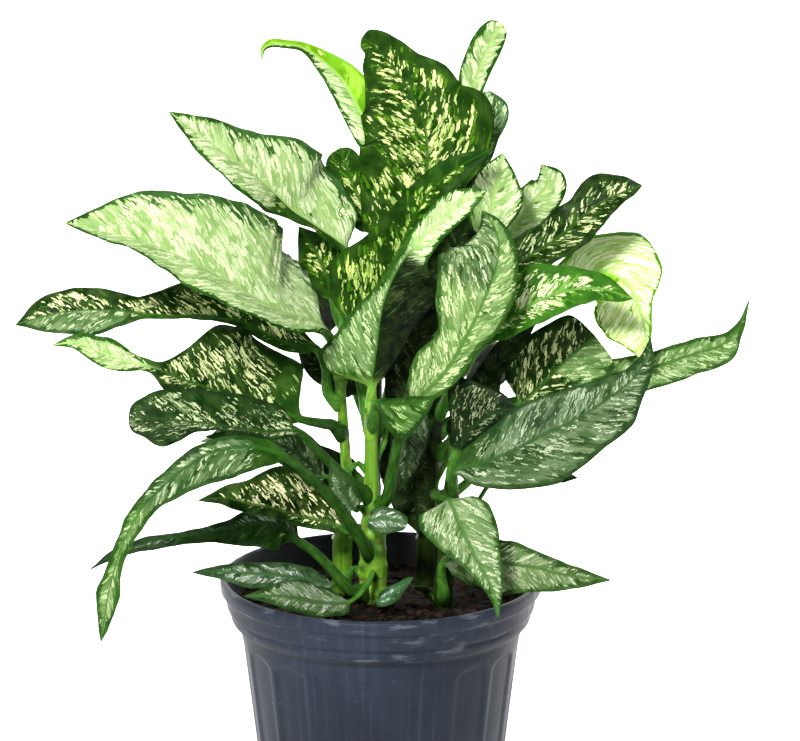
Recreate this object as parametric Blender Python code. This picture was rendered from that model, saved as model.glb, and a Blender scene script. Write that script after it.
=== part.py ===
"""A dieffenbachia in a round nursery pot.

Metres, +Z up. The pot stands on z = 0 with its axis on x = y = 0, and its front is towards -Y.
Each leaf is one solid: a round stalk that opens into a waved blade. Five canes carry the leaves
and stand in plain holes in the soil.
"""

import math

import bmesh
import bpy
from mathutils import Vector

CM = 0.01
GAP = 0.0003  # clearance between pieces that touch

# Pot: outer profile as (radius, height) in cm, from the top of the lip down to the foot.
POT_OUTER = [
    (13.25, 24.0),
    (13.47, 23.85),
    (13.52, 23.5),
    (13.45, 22.9),
    (13.08, 22.65),
    (12.95, 21.5),
    (12.6, 21.2),
    (12.68, 20.85),
    (12.5, 20.35),
    (11.8, 19.85),
]
FLUTED_ROWS = (19.1, 18.3, 17.5, 16.3, 8.0, 1.2)
BODY_TOP_RADIUS = 11.83
BODY_TOP_HEIGHT = 19.85
BODY_SLOPE = 0.118  # cm of radius lost for each cm down
FOOT_RADIUS = 9.45
FLUTES = 18
STEPS_PER_FLUTE = 3
FLUTE_DEPTH = 0.17
ARCH_TOP = 18.9
ARCH_DROP = 1.5
FLOOR_TOP = 0.35
LIP_INNER = [(13.02, 23.98), (12.86, 23.7)]
COLLAR_INNER = [(12.4, 21.0), (11.55, 19.7)]
BASE_INNER = (9.35, FLOOR_TOP)

# Soil: fills the pot to below the lip, with its surface a little uneven.
SOIL_EDGE = 21.3
SOIL_MOUND = 0.35
SOIL_SIDES = 48

# Canes: name -> points (x, y, z, radius) in cm, from the foot in the soil to the top.
CANES = {
    "cane_main": [
        (-0.65, 0.1, 17.0, 1.15),
        (-0.65, 0.1, 21.5, 1.22),
        (-0.65, 0.1, 24.4, 1.15),
        (-0.65, 0.0, 24.8, 1.28),
        (-0.65, 0.0, 25.2, 1.14),
        (-0.7, -0.1, 27.2, 1.08),
        (-0.7, -0.1, 27.6, 1.18),
        (-0.7, -0.1, 28.0, 0.98),
        (-0.75, -0.2, 30.5, 0.68),
        (-0.8, -0.3, 35.0, 0.56),
        (-0.75, -0.6, 38.5, 0.58),
    ],
    "cane_left": [
        (-3.3, 2.5, 17.0, 0.92),
        (-3.3, 2.4, 23.0, 0.90),
        (-3.3, 2.4, 23.3, 1.00),
        (-3.3, 2.4, 23.6, 0.88),
        (-3.25, 2.3, 26.2, 0.84),
        (-3.25, 2.3, 26.5, 0.93),
        (-3.2, 2.3, 26.8, 0.80),
        (-3.0, 2.2, 29.5, 0.54),
        (-2.9, 1.9, 33.0, 0.46),
        (-3.2, 1.3, 37.7, 0.45),
        (-3.45, 0.8, 40.8, 0.46),
        (-3.6, 0.4, 42.0, 0.55),
    ],
    "cane_back": [
        (-0.8, 5.0, 17.0, 0.80),
        (-0.8, 5.0, 25.0, 0.78),
        (-0.8, 5.0, 25.3, 0.86),
        (-0.8, 5.0, 25.6, 0.76),
        (-0.6, 5.0, 35.0, 0.70),
        (-0.4, 5.2, 44.0, 0.62),
    ],
    "cane_right": [
        (3.6, 4.6, 17.0, 0.85),
        (3.9, 4.5, 25.5, 0.82),
        (3.9, 4.5, 25.8, 0.92),
        (3.9, 4.5, 26.1, 0.80),
        (4.4, 4.3, 33.0, 0.72),
        (5.4, 3.9, 45.0, 0.60),
    ],
    "cane_front": [
        (5.0, -1.9, 17.0, 0.80),
        (5.2, -2.1, 23.6, 0.76),
        (5.2, -2.2, 23.9, 0.84),
        (5.25, -2.3, 24.2, 0.72),
        (5.5, -3.0, 30.0, 0.62),
        (5.8, -3.4, 33.0, 0.58),
    ],
}
CANE_SIDES = 12

# How a leaf shows: which cane carries it, at what height in cm and towards which side, the way
# of its stalk, its midrib from the foot of the blade to the tip, the widest reach to the left
# and right of the midrib, the directions in which the upper face looks from foot to tip, how
# far the two halves fold up (degrees), how far the margins droop (share of the width), and its
# waves (height in cm, number along the blade, phase in turns). A reach or fold that changes
# along the blade is a list of (share of the length, value). "seen" leaves give their reach as
# it shows from the front, "blunt" ones end round, and "fine" ones have more rows.
UP = (0.0, -0.6, 0.8)
LEAVES = [
    dict(name="leaf_01", cane="cane_back", at="top", way=(0, 1),
         stalk=[(-0.6, 6.4, 47.5), (0.4, 7.6, 53)],
         spine=[(1, 8, 57.1), (-0.7, 8.4, 60), (-1.9, 8.8, 62.4), (-3, 9, 64.4), (-4.6, 9, 66),
                (-6.7, 8.8, 67.4), (-8, 8.5, 67.6), (-9, 8.2, 67.7), (-9.7, 8, 67.3),
                (-9.9, 7.8, 66.4)],
         left=[(0.1, 1.2), (0.33, 1.5), (0.46, 1.5), (0.6, 1), (0.76, 0.35), (0.9, 0.3)],
         right=[(0.1, 1.4), (0.33, 1.9), (0.46, 1.6), (0.6, 1), (0.76, 0.4), (0.9, 0.35)],
         face=[(-0.3, -0.9, 0.3)], fold=24, droop=0.1, wave=(0.1, 1.5, 0.1), seen=True),
    dict(name="leaf_02", cane="cane_back", at=42.0, way=(1, -0.2),
         stalk=[(1.5, 4.7, 44.5), (2.3, 4.4, 47.5)],
         spine=[(2.6, 4, 50.5), (3.5, 4, 54.7), (3.9, 3.8, 58.3), (3.6, 3.5, 61.4), (2.9, 3.2, 63),
                (2.3, 3, 64.4), (1.3, 2.6, 65.9), (0.3, 2.2, 67.1), (-0.6, 1.8, 68.1),
                (-1.5, 1.4, 68.6)],
         left=[(0.06, 4.2), (0.21, 5.2), (0.39, 5.6), (0.54, 5.4), (0.63, 4.7), (0.71, 4.3),
               (0.8, 3.3), (0.88, 2.2), (0.95, 1.1)],
         right=[(0.06, 3), (0.21, 4.2), (0.39, 4.8), (0.54, 5.7), (0.63, 4.2), (0.71, 3.6),
                (0.8, 2.2), (0.88, 1.8), (0.95, 1.2)],
         face=[(-0.1, -1, 0.15), (0, -1, 0.15)], fold=12, droop=0.12, wave=(0.25, 2.5, 0.2),
         seen=True, blunt=True, fine=True),
    dict(name="leaf_03", cane="cane_right", at="top", way=(0, 1),
         stalk=[(5.3, 5.6, 50), (5.7, 6.8, 55)],
         spine=[(6.5, 7, 59.7), (7.6, 7, 63.5), (8.3, 7, 65.7), (9, 6.7, 67.5), (9.6, 6.3, 68.7),
                (10.2, 6, 69.4)],
         left=[(0.15, 0.9), (0.35, 1.1), (0.57, 1.5), (0.77, 1.5), (0.91, 1.2)],
         right=[(0.15, 0.8), (0.35, 0.8), (0.57, 0.95), (0.77, 1.1), (0.91, 1)],
         face=[(0, -1, 0.1)], fold=12, droop=0.0, wave=(0.12, 1.5, 0.4), seen=True, blunt=True),
    dict(name="leaf_04", cane="cane_left", at=40.5, way=(0.3, 1),
         stalk=[(-3.1, 2.8, 43), (-2.9, 3.7, 47)],
         spine=[(-2.9, 3.2, 51), (-5.1, 2.4, 53), (-7.2, 1.2, 54.6), (-9, 0, 56.6),
                (-11.3, -1.4, 58.7), (-14, -2.4, 60.9), (-16.8, -3, 63.1)],
         left=[(0.06, 0.6), (0.2, 0.5), (0.3, 0.6), (0.44, 1.5), (0.6, 1.9), (0.8, 1.2)],
         right=[(0.06, 3), (0.15, 4.2), (0.29, 5.1), (0.44, 4.6), (0.6, 3.2), (0.8, 1.9)],
         face=[(0, -0.75, 0.65)], fold=22, droop=0.12, wave=(0.25, 2, 0.0), seen=True, fine=True),
    dict(name="leaf_05", cane="cane_left", at="top", way=(0, -1),
         stalk=[(-3.8, 0, 43.7)],
         spine=[(-4.6, -1, 45.1), (-8.4, -5, 47.5), (-14, -8, 51.4), (-18, -9, 53.4),
                (-24.3, -10, 55.2)],
         left=[(0.1, 0.9), (0.3, 1.4), (0.55, 1.6), (0.68, 1.4), (0.8, 1)],
         right=[(0.05, 3.3), (0.14, 5.2), (0.3, 6.1), (0.42, 6.4), (0.55, 5.7), (0.68, 4.6),
                (0.8, 3.9), (0.9, 2)],
         face=[UP], fold=26, droop=0.1, wave=(0.3, 2.5, 0.3), seen=True, fine=True),
    dict(name="leaf_06", cane="cane_left", at=38.6, way=(-1, 0.1),
         stalk=[(-4.5, 1.2, 41.4)],
         spine=[(-5.2, 1, 43), (-7.5, 0.6, 43.5), (-9.5, 0, 44.6), (-11.3, -0.4, 45.6),
                (-14, -1, 46.2), (-17.5, -1.6, 46.4), (-20.6, -2, 46.8), (-23.5, -2.4, 47),
                (-26.3, -2.8, 46.8), (-29.5, -3, 45.9)],
         left=[(0.06, 0.6), (0.2, 0.6), (0.3, 0.35), (0.55, 0.3), (0.66, 1.1), (0.76, 2.1),
               (0.86, 1.8)],
         right=[(0.06, 1.4), (0.2, 2.6), (0.42, 3), (0.5, 2.5), (0.62, 1.3), (0.78, 1.8),
                (0.88, 1.7)],
         face=[(0, -0.75, 0.65)], fold=15, droop=0.1, wave=(0.15, 2.5, 0.1), seen=True, fine=True),
    dict(name="leaf_07", cane="cane_left", at=36.0, way=(-0.7, -0.7),
         stalk=[(-4.8, -1, 37.2)],
         spine=[(-6.4, -3, 38), (-9.6, -3.8, 39.4), (-11.8, -4.5, 40.1), (-14.1, -5.2, 41.2),
                (-16.5, -5.8, 42.2), (-18.6, -6.3, 43.2), (-20.3, -6.6, 43.6), (-22.3, -6.8, 44.4),
                (-24.2, -7, 45.2), (-26, -7, 45)],
         left=[(0.1, 0.8), (0.35, 1), (0.47, 1.5), (0.55, 1.2), (0.62, 0.4), (0.8, 1), (0.91, 0.5)],
         right=[(0.05, 4.1), (0.16, 4.4), (0.28, 5.5), (0.4, 5.3), (0.52, 2.3), (0.62, 0.4),
                (0.8, 1.3), (0.91, 0.7)],
         face=[(0, -0.7, 0.7), (0, -0.85, 0.5)], fold=20, droop=0.1, wave=(0.1, 2, 0.5),
         seen=True, fine=True),
    dict(name="leaf_08", cane="cane_main", at=31.0, way=(-0.7, -0.7),
         stalk=[(-2.4, -2.3, 32.5), (-4.9, -3.9, 35.4)],
         spine=[(-6.7, -6, 37.7), (-9.2, -7.5, 38), (-11.2, -8.4, 38.5), (-13.1, -9.2, 39),
                (-15, -9.8, 39.4), (-16.9, -10, 39.6), (-18.4, -10.2, 39.8), (-19.8, -10.3, 39.8)],
         left=[(0.06, 0.5), (0.45, 0.4), (0.62, 0.6), (0.72, 1.5), (0.8, 1.9), (0.9, 1.5)],
         right=[(0.06, 2.1), (0.2, 2.5), (0.63, 2.6), (0.78, 2.4), (0.9, 1.7)],
         face=[UP], fold=22, droop=0.1, wave=(0.1, 2, 0.2), seen=True, blunt=True, fine=True),
    dict(name="leaf_09", cane="cane_main", at=26.2, way=(-0.4, -1),
         stalk=[(-2.2, -2.5, 28.6), (-3.6, -4.2, 31.2), (-5.5, -6.7, 34)],
         spine=[(-7.4, -9, 36.2), (-9.1, -10, 37.2), (-11, -10.8, 37.6), (-13.2, -11.4, 37.3),
                (-15, -12, 36.4), (-16.8, -12.4, 35), (-18.5, -12.7, 33.3), (-20.2, -12.8, 30.2),
                (-21.3, -12.8, 26.6), (-22.1, -12.6, 22.3)],
         left=[(0.06, 0.9), (0.16, 1.8), (0.25, 2.3), (0.34, 2), (0.5, 1.1), (0.62, 0.8),
               (0.72, 0.5), (0.85, 0.9), (0.94, 0.5)],
         right=[(0.06, 0.7), (0.25, 0.9), (0.44, 0.8), (0.62, 0.7), (0.72, 0.5), (0.85, 0.9),
                (0.94, 0.5)],
         face=[(0, -0.75, 0.65), (-0.4, -0.7, 0.6), (-0.6, -0.8, 0.1)], fold=12, droop=0.1,
         wave=(0.1, 2, 0.3), seen=True, fine=True),
    dict(name="leaf_10", cane="cane_main", at=27.5, way=(-1, -0.1),
         stalk=[(-2.6, -0.7, 27.9)],
         spine=[(-3.3, -1, 28.3), (-5.1, -2, 29.2), (-6.9, -2.8, 29.8), (-8.7, -3.5, 30.6),
                (-10.7, -4.2, 31.2), (-12.4, -4.7, 31.8), (-14.8, -5.3, 31.8)],
         left=[(0.1, 0.6), (0.5, 0.7), (0.8, 0.6)],
         right=[(0.08, 2.8), (0.3, 4.1), (0.47, 3.6), (0.65, 2.3), (0.8, 1.1)],
         face=[(0, -0.75, 0.65)], fold=18, droop=0.1, wave=(0.12, 2, 0.3), seen=True),
    dict(name="leaf_11", cane="cane_main", at=22.5, way=(-0.6, -0.8),
         stalk=[(-2.4, -1.8, 23), (-3.2, -2.1, 23.9), (-4.3, -2, 25.2), (-5.6, -1.9, 26.5)],
         spine=[(-6.9, -2, 27.5), (-8, -2.4, 28.8), (-9.5, -2.8, 29.2), (-12.3, -3.4, 29),
                (-15.6, -4.2, 28.6), (-18.9, -4.8, 28.2), (-21.3, -5.2, 27.5), (-23.7, -5.5, 26.1)],
         left=[(0.04, 1.2), (0.1, 1.8), (0.18, 2), (0.33, 1.4), (0.52, 0.7), (0.7, 0.6),
               (0.85, 0.4)],
         right=[(0.06, 0.8), (0.18, 1.2), (0.26, 1.1), (0.36, 0.5), (0.6, 0.35), (0.85, 0.35)],
         face=[(0, -0.75, 0.65)], fold=12, droop=0.1, wave=(0.1, 2.5, 0.0), seen=True),
    dict(name="leaf_12", cane="cane_main", at=23.9, way=(-1, 0.25),
         stalk=[(-2.9, 0, 23.7)],
         spine=[(-3.9, -1.2, 23.5), (-5.9, -2.7, 24.3), (-8.3, -3.8, 25), (-10.7, -4.5, 25.4),
                (-13.2, -4.9, 25.7), (-15.4, -5.2, 25.7)],
         left=[(0.12, 0.6), (0.4, 0.9), (0.6, 1.1), (0.8, 0.6)],
         right=[(0.12, 0.6), (0.35, 1), (0.6, 0.9), (0.8, 0.5)],
         face=[(0, -0.75, 0.65)], fold=12, droop=0.1, wave=(0.1, 1.5, 0.5), seen=True),
    dict(name="leaf_13", cane="cane_main", at=24.1, way=(0, -1),
         stalk=[(-1.1, -2.6, 23.9)],
         spine=[(-2.6, -4.4, 22.9), (-4.6, -6, 23.3), (-6.6, -7.4, 24.1), (-8.5, -8.8, 24.8),
                (-10.9, -9.8, 25.1)],
         left=[(0.12, 0.8), (0.4, 1), (0.7, 0.8)], right=[(0.12, 0.9), (0.4, 1.4), (0.7, 0.9)],
         face=[(0, -0.7, 0.7)], fold=8, droop=0.1, wave=(0.08, 1.5, 0.0), seen=True),
    dict(name="leaf_14", cane="cane_main", at=36.5, way=(-0.3, 1),
         stalk=[(-1.4, 1.4, 39), (-2.1, 1.6, 42)],
         spine=[(-2.4, 1.3, 45), (-0.5, 1, 48), (1.3, 0.5, 50.9), (2.6, 0, 53.8), (4, -0.6, 56.4),
                (6, -1, 58.2), (9.1, -1.6, 60)],
         left=[(0.05, 2.4), (0.18, 4.2), (0.35, 3.1), (0.52, 2.1), (0.67, 1.4), (0.82, 1)],
         right=[(0.05, 1.6), (0.18, 2.4), (0.35, 1.6), (0.52, 1.3), (0.67, 1.1), (0.82, 1.2),
                (0.92, 0.6)],
         face=[(-0.1, -0.95, 0.3), (-0.2, -0.9, 0.4)], fold=14, droop=0.12, wave=(0.15, 2.5, 0.2),
         seen=True, fine=True),
    dict(name="leaf_15", cane="cane_main", at="top", way=(0, -1),
         stalk=[(-0.75, -0.95, 39.4)],
         spine=[(-0.7, -1.4, 40.3), (-0.3, -2.2, 43.6), (0.3, -3, 47.7), (1.8, -3.5, 51.1),
                (4, -3.8, 53.6), (6.2, -3.8, 55.5), (8.5, -3.6, 56.9)],
         left=[(0.05, 3.9), (0.12, 4.6), (0.2, 3.6), (0.3, 2.3), (0.42, 1), (0.54, 0.6), (0.7, 1.1),
               (0.86, 1.5), (0.94, 0.9)],
         right=[(0.08, 1.2), (0.2, 2.4), (0.36, 3.8), (0.45, 4), (0.54, 3.2), (0.63, 1.5),
                (0.75, 1.1), (0.86, 1), (0.94, 0.6)],
         face=[(-0.05, -0.95, 0.3), (-0.2, -0.95, 0.3)], fold=0,
         fold_left=[(0.12, 12), (0.35, -14), (0.6, 8)],
         fold_right=[(0.45, -38), (0.7, 4)], droop=0.1, wave=(0.08, 2, 0.1), seen=True, fine=True),
    dict(name="leaf_16", cane="cane_main", at=30.0, way=(0.8, -0.6),
         stalk=[(0.9, -2, 33.1), (1.4, -3, 35.9)],
         spine=[(2.5, -4, 39.4), (3.8, -4.6, 40.8), (5.3, -5, 42.5), (6.6, -5.4, 44.8),
                (7.7, -5.6, 47.1), (8.6, -5.6, 49.2), (9.3, -5.5, 51.4), (9.4, -5.3, 53.1),
                (8.9, -5.1, 54.4), (8.1, -4.8, 55.4)],
         left=[(0.05, 1.4), (0.22, 2.7), (0.36, 2.2), (0.5, 3.5), (0.62, 4.2), (0.75, 4.9),
               (0.85, 3.5), (0.93, 1.5)],
         right=[(0.08, 0.8), (0.22, 1.2), (0.36, 1.3), (0.5, 2.1), (0.62, 2.2), (0.75, 1.7),
                (0.85, 1.1), (0.93, 0.6)],
         face=[(0, -1, 0.2)], fold=8, fold_left=[(0.6, 8), (0.76, -30)], droop=0.12,
         wave=(0.1, 2, 0.3), seen=True, fine=True),
    dict(name="leaf_17", cane="cane_right", at=43.6, way=(0.9, -0.5),
         stalk=[(7, 2.8, 45.8), (8, 2, 49)],
         spine=[(8.5, 1.7, 52.3), (9.4, 1.5, 56), (10, 1.4, 59.3)],
         left=[(0.2, 1.6), (0.5, 2.2), (0.75, 1.6)], right=[(0.2, 1.8), (0.5, 2.4), (0.75, 1.5)],
         face=[(0, -1, 0.1)], fold=15, droop=0.1, wave=(0.15, 1.5, 0.2)),
    dict(name="leaf_18", cane="cane_right", at=42.0, way=(1, 0.6),
         stalk=[(7, 5.1, 44.3), (8.8, 5.6, 47.5)],
         spine=[(9.8, 5.6, 50.3), (12.2, 5.5, 54.1), (14, 5, 56.6), (13.4, 4.5, 58)],
         left=[(0.2, 1.4), (0.5, 1.5), (0.8, 1.3)], right=[(0.2, 1.6), (0.5, 2), (0.8, 1.6)],
         face=[(0, -1, 0.1)], fold=12, droop=0.1, wave=(0.15, 1.5, 0.5)),
    dict(name="leaf_19", cane="cane_right", at=40.4, way=(0.8, -0.7),
         stalk=[(6.8, 2.4, 42.8), (8.6, 2, 46)],
         spine=[(10, 1.9, 48.8), (14.7, 1, 52.4), (18.2, 0.5, 55.4), (21.3, 0, 56.8)],
         left=[(0.2, 2.1), (0.45, 2), (0.6, 1.8), (0.76, 2.6), (0.9, 1.5)],
         right=[(0.2, 2.1), (0.45, 2.2), (0.65, 2.1), (0.8, 1.7), (0.92, 0.9)],
         face=[(0, -0.7, 0.7)], fold=16, droop=0.1, wave=(0.2, 2, 0.2)),
    dict(name="leaf_20", cane="cane_right", at=38.6, way=(0.9, 0.5),
         stalk=[(7.5, 5.2, 41.5), (10.8, 5.6, 44.6)],
         spine=[(13.9, 5, 46.5), (16.3, 4.4, 48.1), (18.6, 3.6, 49.1), (20.4, 2.6, 48.3),
                (21.4, 1.6, 46.4), (21.9, 0.6, 44.3), (21.9, -0.4, 42.2)],
         left=[(0.08, 1.4), (0.2, 2.1), (0.37, 3.3), (0.45, 4.1), (0.54, 3.4), (0.68, 1.2),
               (0.84, 0.5)],
         right=[(0.15, 1.8), (0.37, 2.4), (0.52, 3.2), (0.68, 3.7), (0.84, 3.2), (0.93, 1.6)],
         face=[(0, -0.9, 0.5), (0.1, -0.95, 0.3)], fold=6, droop=0.1, wave=(0.1, 2, 0.0),
         seen=True, fine=True),
    dict(name="leaf_21", cane="cane_right", at=37.2, way=(0.5, -0.9),
         stalk=[(6, 1.2, 39.8), (7, -0.4, 41.8)],
         spine=[(8.1, -1.8, 44.1), (10.1, -2.2, 45.9), (12.5, -2.8, 47.6), (14.9, -3.2, 48.6),
                (17.5, -3.5, 48.9), (20.3, -3.8, 48.1)],
         left=[(0.08, 2.2), (0.19, 3.3), (0.4, 3.2), (0.59, 2.2), (0.78, 1.3)],
         right=[(0.1, 0.8), (0.2, 1.3), (0.5, 1.6), (0.78, 1), (0.92, 0.6)],
         face=[(0, -0.75, 0.65)], fold=15, droop=0.1, wave=(0.12, 2, 0.4), seen=True),
    dict(name="leaf_22", cane="cane_right", at=35.4, way=(1, 0.3),
         stalk=[(7.5, 4.5, 36.8), (12, 4.4, 38)],
         spine=[(17, 3.5, 39.8), (22.7, 3, 41), (26.2, 2, 42.4), (28.4, 1.4, 43.3),
                (29.6, 1, 44.7), (30.4, 0.6, 47.2)],
         left=[(0.15, 1.4), (0.4, 1.4), (0.6, 1.2), (0.72, 0.9), (0.82, 0.4)],
         right=[(0.15, 1.8), (0.4, 2.2), (0.6, 2), (0.74, 1.6), (0.85, 0.4)],
         face=[(0, -0.75, 0.65), (-0.3, -0.8, 0.5)], fold=15, droop=0.1, wave=(0.2, 1.5, 0.2)),
    dict(name="leaf_23", cane="cane_front", at=29.3, way=(0.8, -0.8),
         stalk=[(6.1, -4.9, 31.3), (5.8, -6.2, 33.2)],
         spine=[(5.9, -7, 34.5), (8.2, -7.8, 35.5), (10.4, -8.4, 36.6), (12.8, -9, 38.1),
                (14.7, -9.4, 39.1), (16.6, -9.8, 40.3), (18.3, -10, 41.6), (19.8, -10.1, 42.9),
                (20.7, -10.1, 44.4), (21.1, -10, 46.1)],
         left=[(0.05, 1.2), (0.13, 2), (0.39, 2.8), (0.61, 2.2), (0.72, 1.5), (0.85, 0.8)],
         right=[(0.05, 1), (0.13, 1.9), (0.25, 3), (0.39, 3.8), (0.5, 3.5), (0.61, 3), (0.72, 2.7),
                (0.82, 1.4), (0.91, 0.7)],
         face=[(0.1, -0.8, 0.6), (0, -0.9, 0.4)], fold=10, droop=0.12, wave=(0.2, 3, 0.2),
         seen=True, fine=True),
    dict(name="leaf_24", cane="cane_right", at=33.6, way=(1, -0.5),
         stalk=[(7.2, 2.7, 35.2), (9.8, 2.2, 36.7)],
         spine=[(11.7, 2, 38.1), (13.6, 1.9, 40), (15.6, 1.7, 42.1), (17.8, 1.4, 44.1)],
         left=[(0.08, 2.6), (0.25, 3.6), (0.5, 3.6), (0.75, 3.2), (0.93, 2.7)],
         right=[(0.1, 1.6), (0.3, 2.4), (0.6, 2.9), (0.8, 3.3), (0.94, 3.1)],
         face=[(0, -0.98, 0.2)], fold=6, droop=0.1, wave=(0.2, 1.5, 0.1), seen=True, blunt=True),
    dict(name="leaf_25", cane="cane_front", at=27.0, way=(1, -0.2),
         stalk=[(7.3, -2.7, 29.4), (8.4, -3.3, 31.9)],
         spine=[(9.4, -4.1, 33.4), (12.9, -5, 33.9), (15.9, -6, 33.8)],
         left=1.2, right=1.2, face=[UP], fold=12, droop=0.1, wave=(0.2, 1.5, 0.0)),
    dict(name="leaf_26", cane="cane_front", at="top", way=(1, 0),
         stalk=[(5.9, -3.7, 34.3)],
         spine=[(6.2, -4, 35.5), (7.1, -4.3, 37.2), (8.4, -4.7, 38.5), (9.6, -5.1, 39.2),
                (11, -5.4, 39.5)],
         left=[(0.08, 0.8), (0.2, 1.2), (0.37, 2.7), (0.52, 4.1), (0.75, 2.1), (0.9, 0.9)],
         right=[(0.15, 0.9), (0.5, 0.9), (0.8, 0.6)],
         face=[(0, -0.95, 0.3)], fold=8, droop=0.1, wave=(0.1, 1.5, 0.3), seen=True),
    dict(name="leaf_27", cane="cane_front", at=31.3, way=(-1, -0.5),
         stalk=[(4.5, -4.8, 32)],
         spine=[(5.4, -6.4, 32.1), (6.2, -7.8, 30.8), (6.9, -9, 29.4), (7.7, -10, 28),
                (8.6, -10.8, 26.5), (9.1, -11.2, 25.2), (9.3, -11.3, 23.7)],
         left=[(0.05, 1.8), (0.17, 2.8), (0.35, 2.7), (0.53, 2.1), (0.72, 1.2), (0.87, 0.4)],
         right=[(0.04, 2.5), (0.17, 3), (0.35, 2.3), (0.53, 1.3), (0.72, 0.7), (0.87, 0.3)],
         face=[(0, -0.6, 0.8), (0, -1, 0.2)], fold=10, droop=0.12, wave=(0.12, 1.5, 0.2),
         seen=True),
    dict(name="leaf_28", cane="cane_front", at=23.0, way=(0, -1),
         stalk=[(5, -3.6, 24.5)],
         spine=[(5.1, -4.2, 26.1), (7.7, -5, 26.8), (10.1, -5.8, 26.6), (12.6, -6.4, 26.4),
                (15.1, -6.9, 25.9), (18.6, -7.3, 25.6)],
         left=[(0.1, 1.2), (0.2, 1.7), (0.4, 1.8), (0.6, 1.1), (0.78, 0.8)],
         right=[(0.1, 1.4), (0.2, 2), (0.4, 2.3), (0.6, 1.8), (0.78, 1)],
         face=[(0, -0.8, 0.6)], fold=12, droop=0.1, wave=(0.1, 1.5, 0.3), seen=True),
    dict(name="leaf_29", cane="cane_main", at=28.6, way=(0.1, -1),
         stalk=[(-0.9, -1.8, 29.1)],
         spine=[(-1, -2.5, 29.3), (0.3, -2.9, 29.6), (2.2, -3.1, 29.2)],
         left=[(0.1, 0.7), (0.45, 0.9), (0.8, 0.7)], right=[(0.1, 0.7), (0.45, 1.2), (0.8, 0.8)],
         face=[(0, -0.8, 0.6)], fold=8, droop=0.1, wave=(0.05, 1, 0.0), seen=True, blunt=True),
    dict(name="leaf_30", cane="cane_main", at=22.3, way=(0.5, -0.9),
         stalk=[(-0.2, -2.6, 22.6)],
         spine=[(-0.3, -3.8, 22.8), (1, -4.8, 23.7), (2.6, -5.4, 25.3)],
         left=0.8, right=0.8, face=[(-0.3, -0.7, 0.7)], fold=10, droop=0.1, wave=(0.05, 1, 0.0)),
    dict(name="leaf_31", cane="cane_front", at=22.5, way=(-1, -0.1),
         stalk=[(3.9, -2.9, 23)],
         spine=[(3.7, -3.8, 23.5), (3.3, -5, 24.2), (3, -6.2, 24.8)],
         left=1.0, right=1.0, face=[(-0.1, -0.5, 0.9)], fold=10, droop=0.1, wave=(0.1, 1, 0.5)),
    dict(name="leaf_32", cane="cane_main", at=34.2, way=(0.8, 0.6),
         stalk=[(0.6, 0.9, 36.6), (1.4, 1.5, 38.3)],
         spine=[(2.2, 1.8, 38.2), (2.3, 1.6, 34.8), (2, 1.4, 31.2)],
         left=1.7, right=1.7, face=[(0, -0.95, 0.3)], fold=12, droop=0.1, wave=(0.15, 1, 0.2)),
    dict(name="leaf_33", cane="cane_back", at=43.0, way=(-0.9, 0.3),
         stalk=[(-2, 5.6, 46), (-1.2, 5.8, 49.4)],
         spine=[(-0.6, 5.6, 52), (-2.2, 5.6, 56), (-3.4, 5.8, 59.2)],
         left=[(0.2, 1.6), (0.5, 2.4), (0.8, 1.8)], right=[(0.2, 1.6), (0.5, 1.8), (0.8, 1.4)],
         face=[(0, -1, 0.1)], fold=12, droop=0.1, wave=(0.15, 1, 0.2), blunt=True),
    dict(name="leaf_34", cane="cane_back", at=41.0, way=(-1, 0.1),
         stalk=[(-2.8, 5.1, 43.4), (-3.6, 5, 45)],
         spine=[(-4, 4.9, 46.6), (-5.1, 4.7, 50), (-6.8, 4.5, 52.8)],
         left=[(0.2, 1.4), (0.5, 1.9), (0.8, 1)], right=[(0.2, 1.6), (0.5, 2), (0.8, 1)],
         face=[(0, -0.95, 0.3)], fold=12, droop=0.1, wave=(0.15, 1, 0.2)),
    dict(name="leaf_35", cane="cane_main", at=33.2, way=(-1, -0.2),
         stalk=[(-2.8, -1, 33)],
         spine=[(-4.5, -1.5, 32.8), (-6.6, -3, 35), (-8.6, -4.2, 36.3), (-11, -5.2, 37.1),
                (-14.1, -6, 37.3)],
         left=[(0.15, 1.2), (0.4, 1.3), (0.7, 0.8)], right=[(0.15, 1.6), (0.4, 1.8), (0.7, 1)],
         face=[(0, -0.8, 0.6)], fold=12, droop=0.1, wave=(0.1, 1.5, 0.2), seen=True),
    dict(name="leaf_36", cane="cane_back", at=36.0, way=(-0.6, 0.8),
         stalk=[(-2.8, 7.5, 40)],
         spine=[(-4.6, 9.3, 42.6), (-8, 12.5, 45.2), (-10.5, 15, 44.8), (-12.8, 17.5, 41.5)],
         left=3.6, right=3.6, face=[(-0.2, 0.1, 1), (-0.6, 0.6, 0.5)], fold=15, droop=0.1,
         wave=(0.35, 2, 0.1)),
    dict(name="leaf_37", cane="cane_back", at=32.5, way=(0.2, 1),
         stalk=[(0.2, 7.5, 36)],
         spine=[(0.8, 9.4, 38.6), (1.4, 14, 41), (2, 18, 40), (2.5, 21.5, 36)],
         left=3.8, right=3.8, face=[(0, 0, 1), (0, 0.8, 0.6)], fold=15, droop=0.1,
         wave=(0.35, 2, 0.3)),
    dict(name="leaf_38", cane="cane_right", at=32.0, way=(0.7, 0.7),
         stalk=[(6.6, 7, 35)],
         spine=[(8.4, 9, 37.6), (12.3, 12.5, 40), (15, 15, 39), (17.5, 17.5, 35)],
         left=3.6, right=3.6, face=[(0, 0, 1), (0.6, 0.6, 0.5)], fold=15, droop=0.1,
         wave=(0.35, 2, 0.5)),
    dict(name="leaf_39", cane="cane_left", at=28.5, way=(-0.7, 0.7),
         stalk=[(-5.6, 4.8, 30.3)],
         spine=[(-7.6, 6.8, 32.4), (-11.5, 10.5, 34), (-16, 14, 32)],
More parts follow.
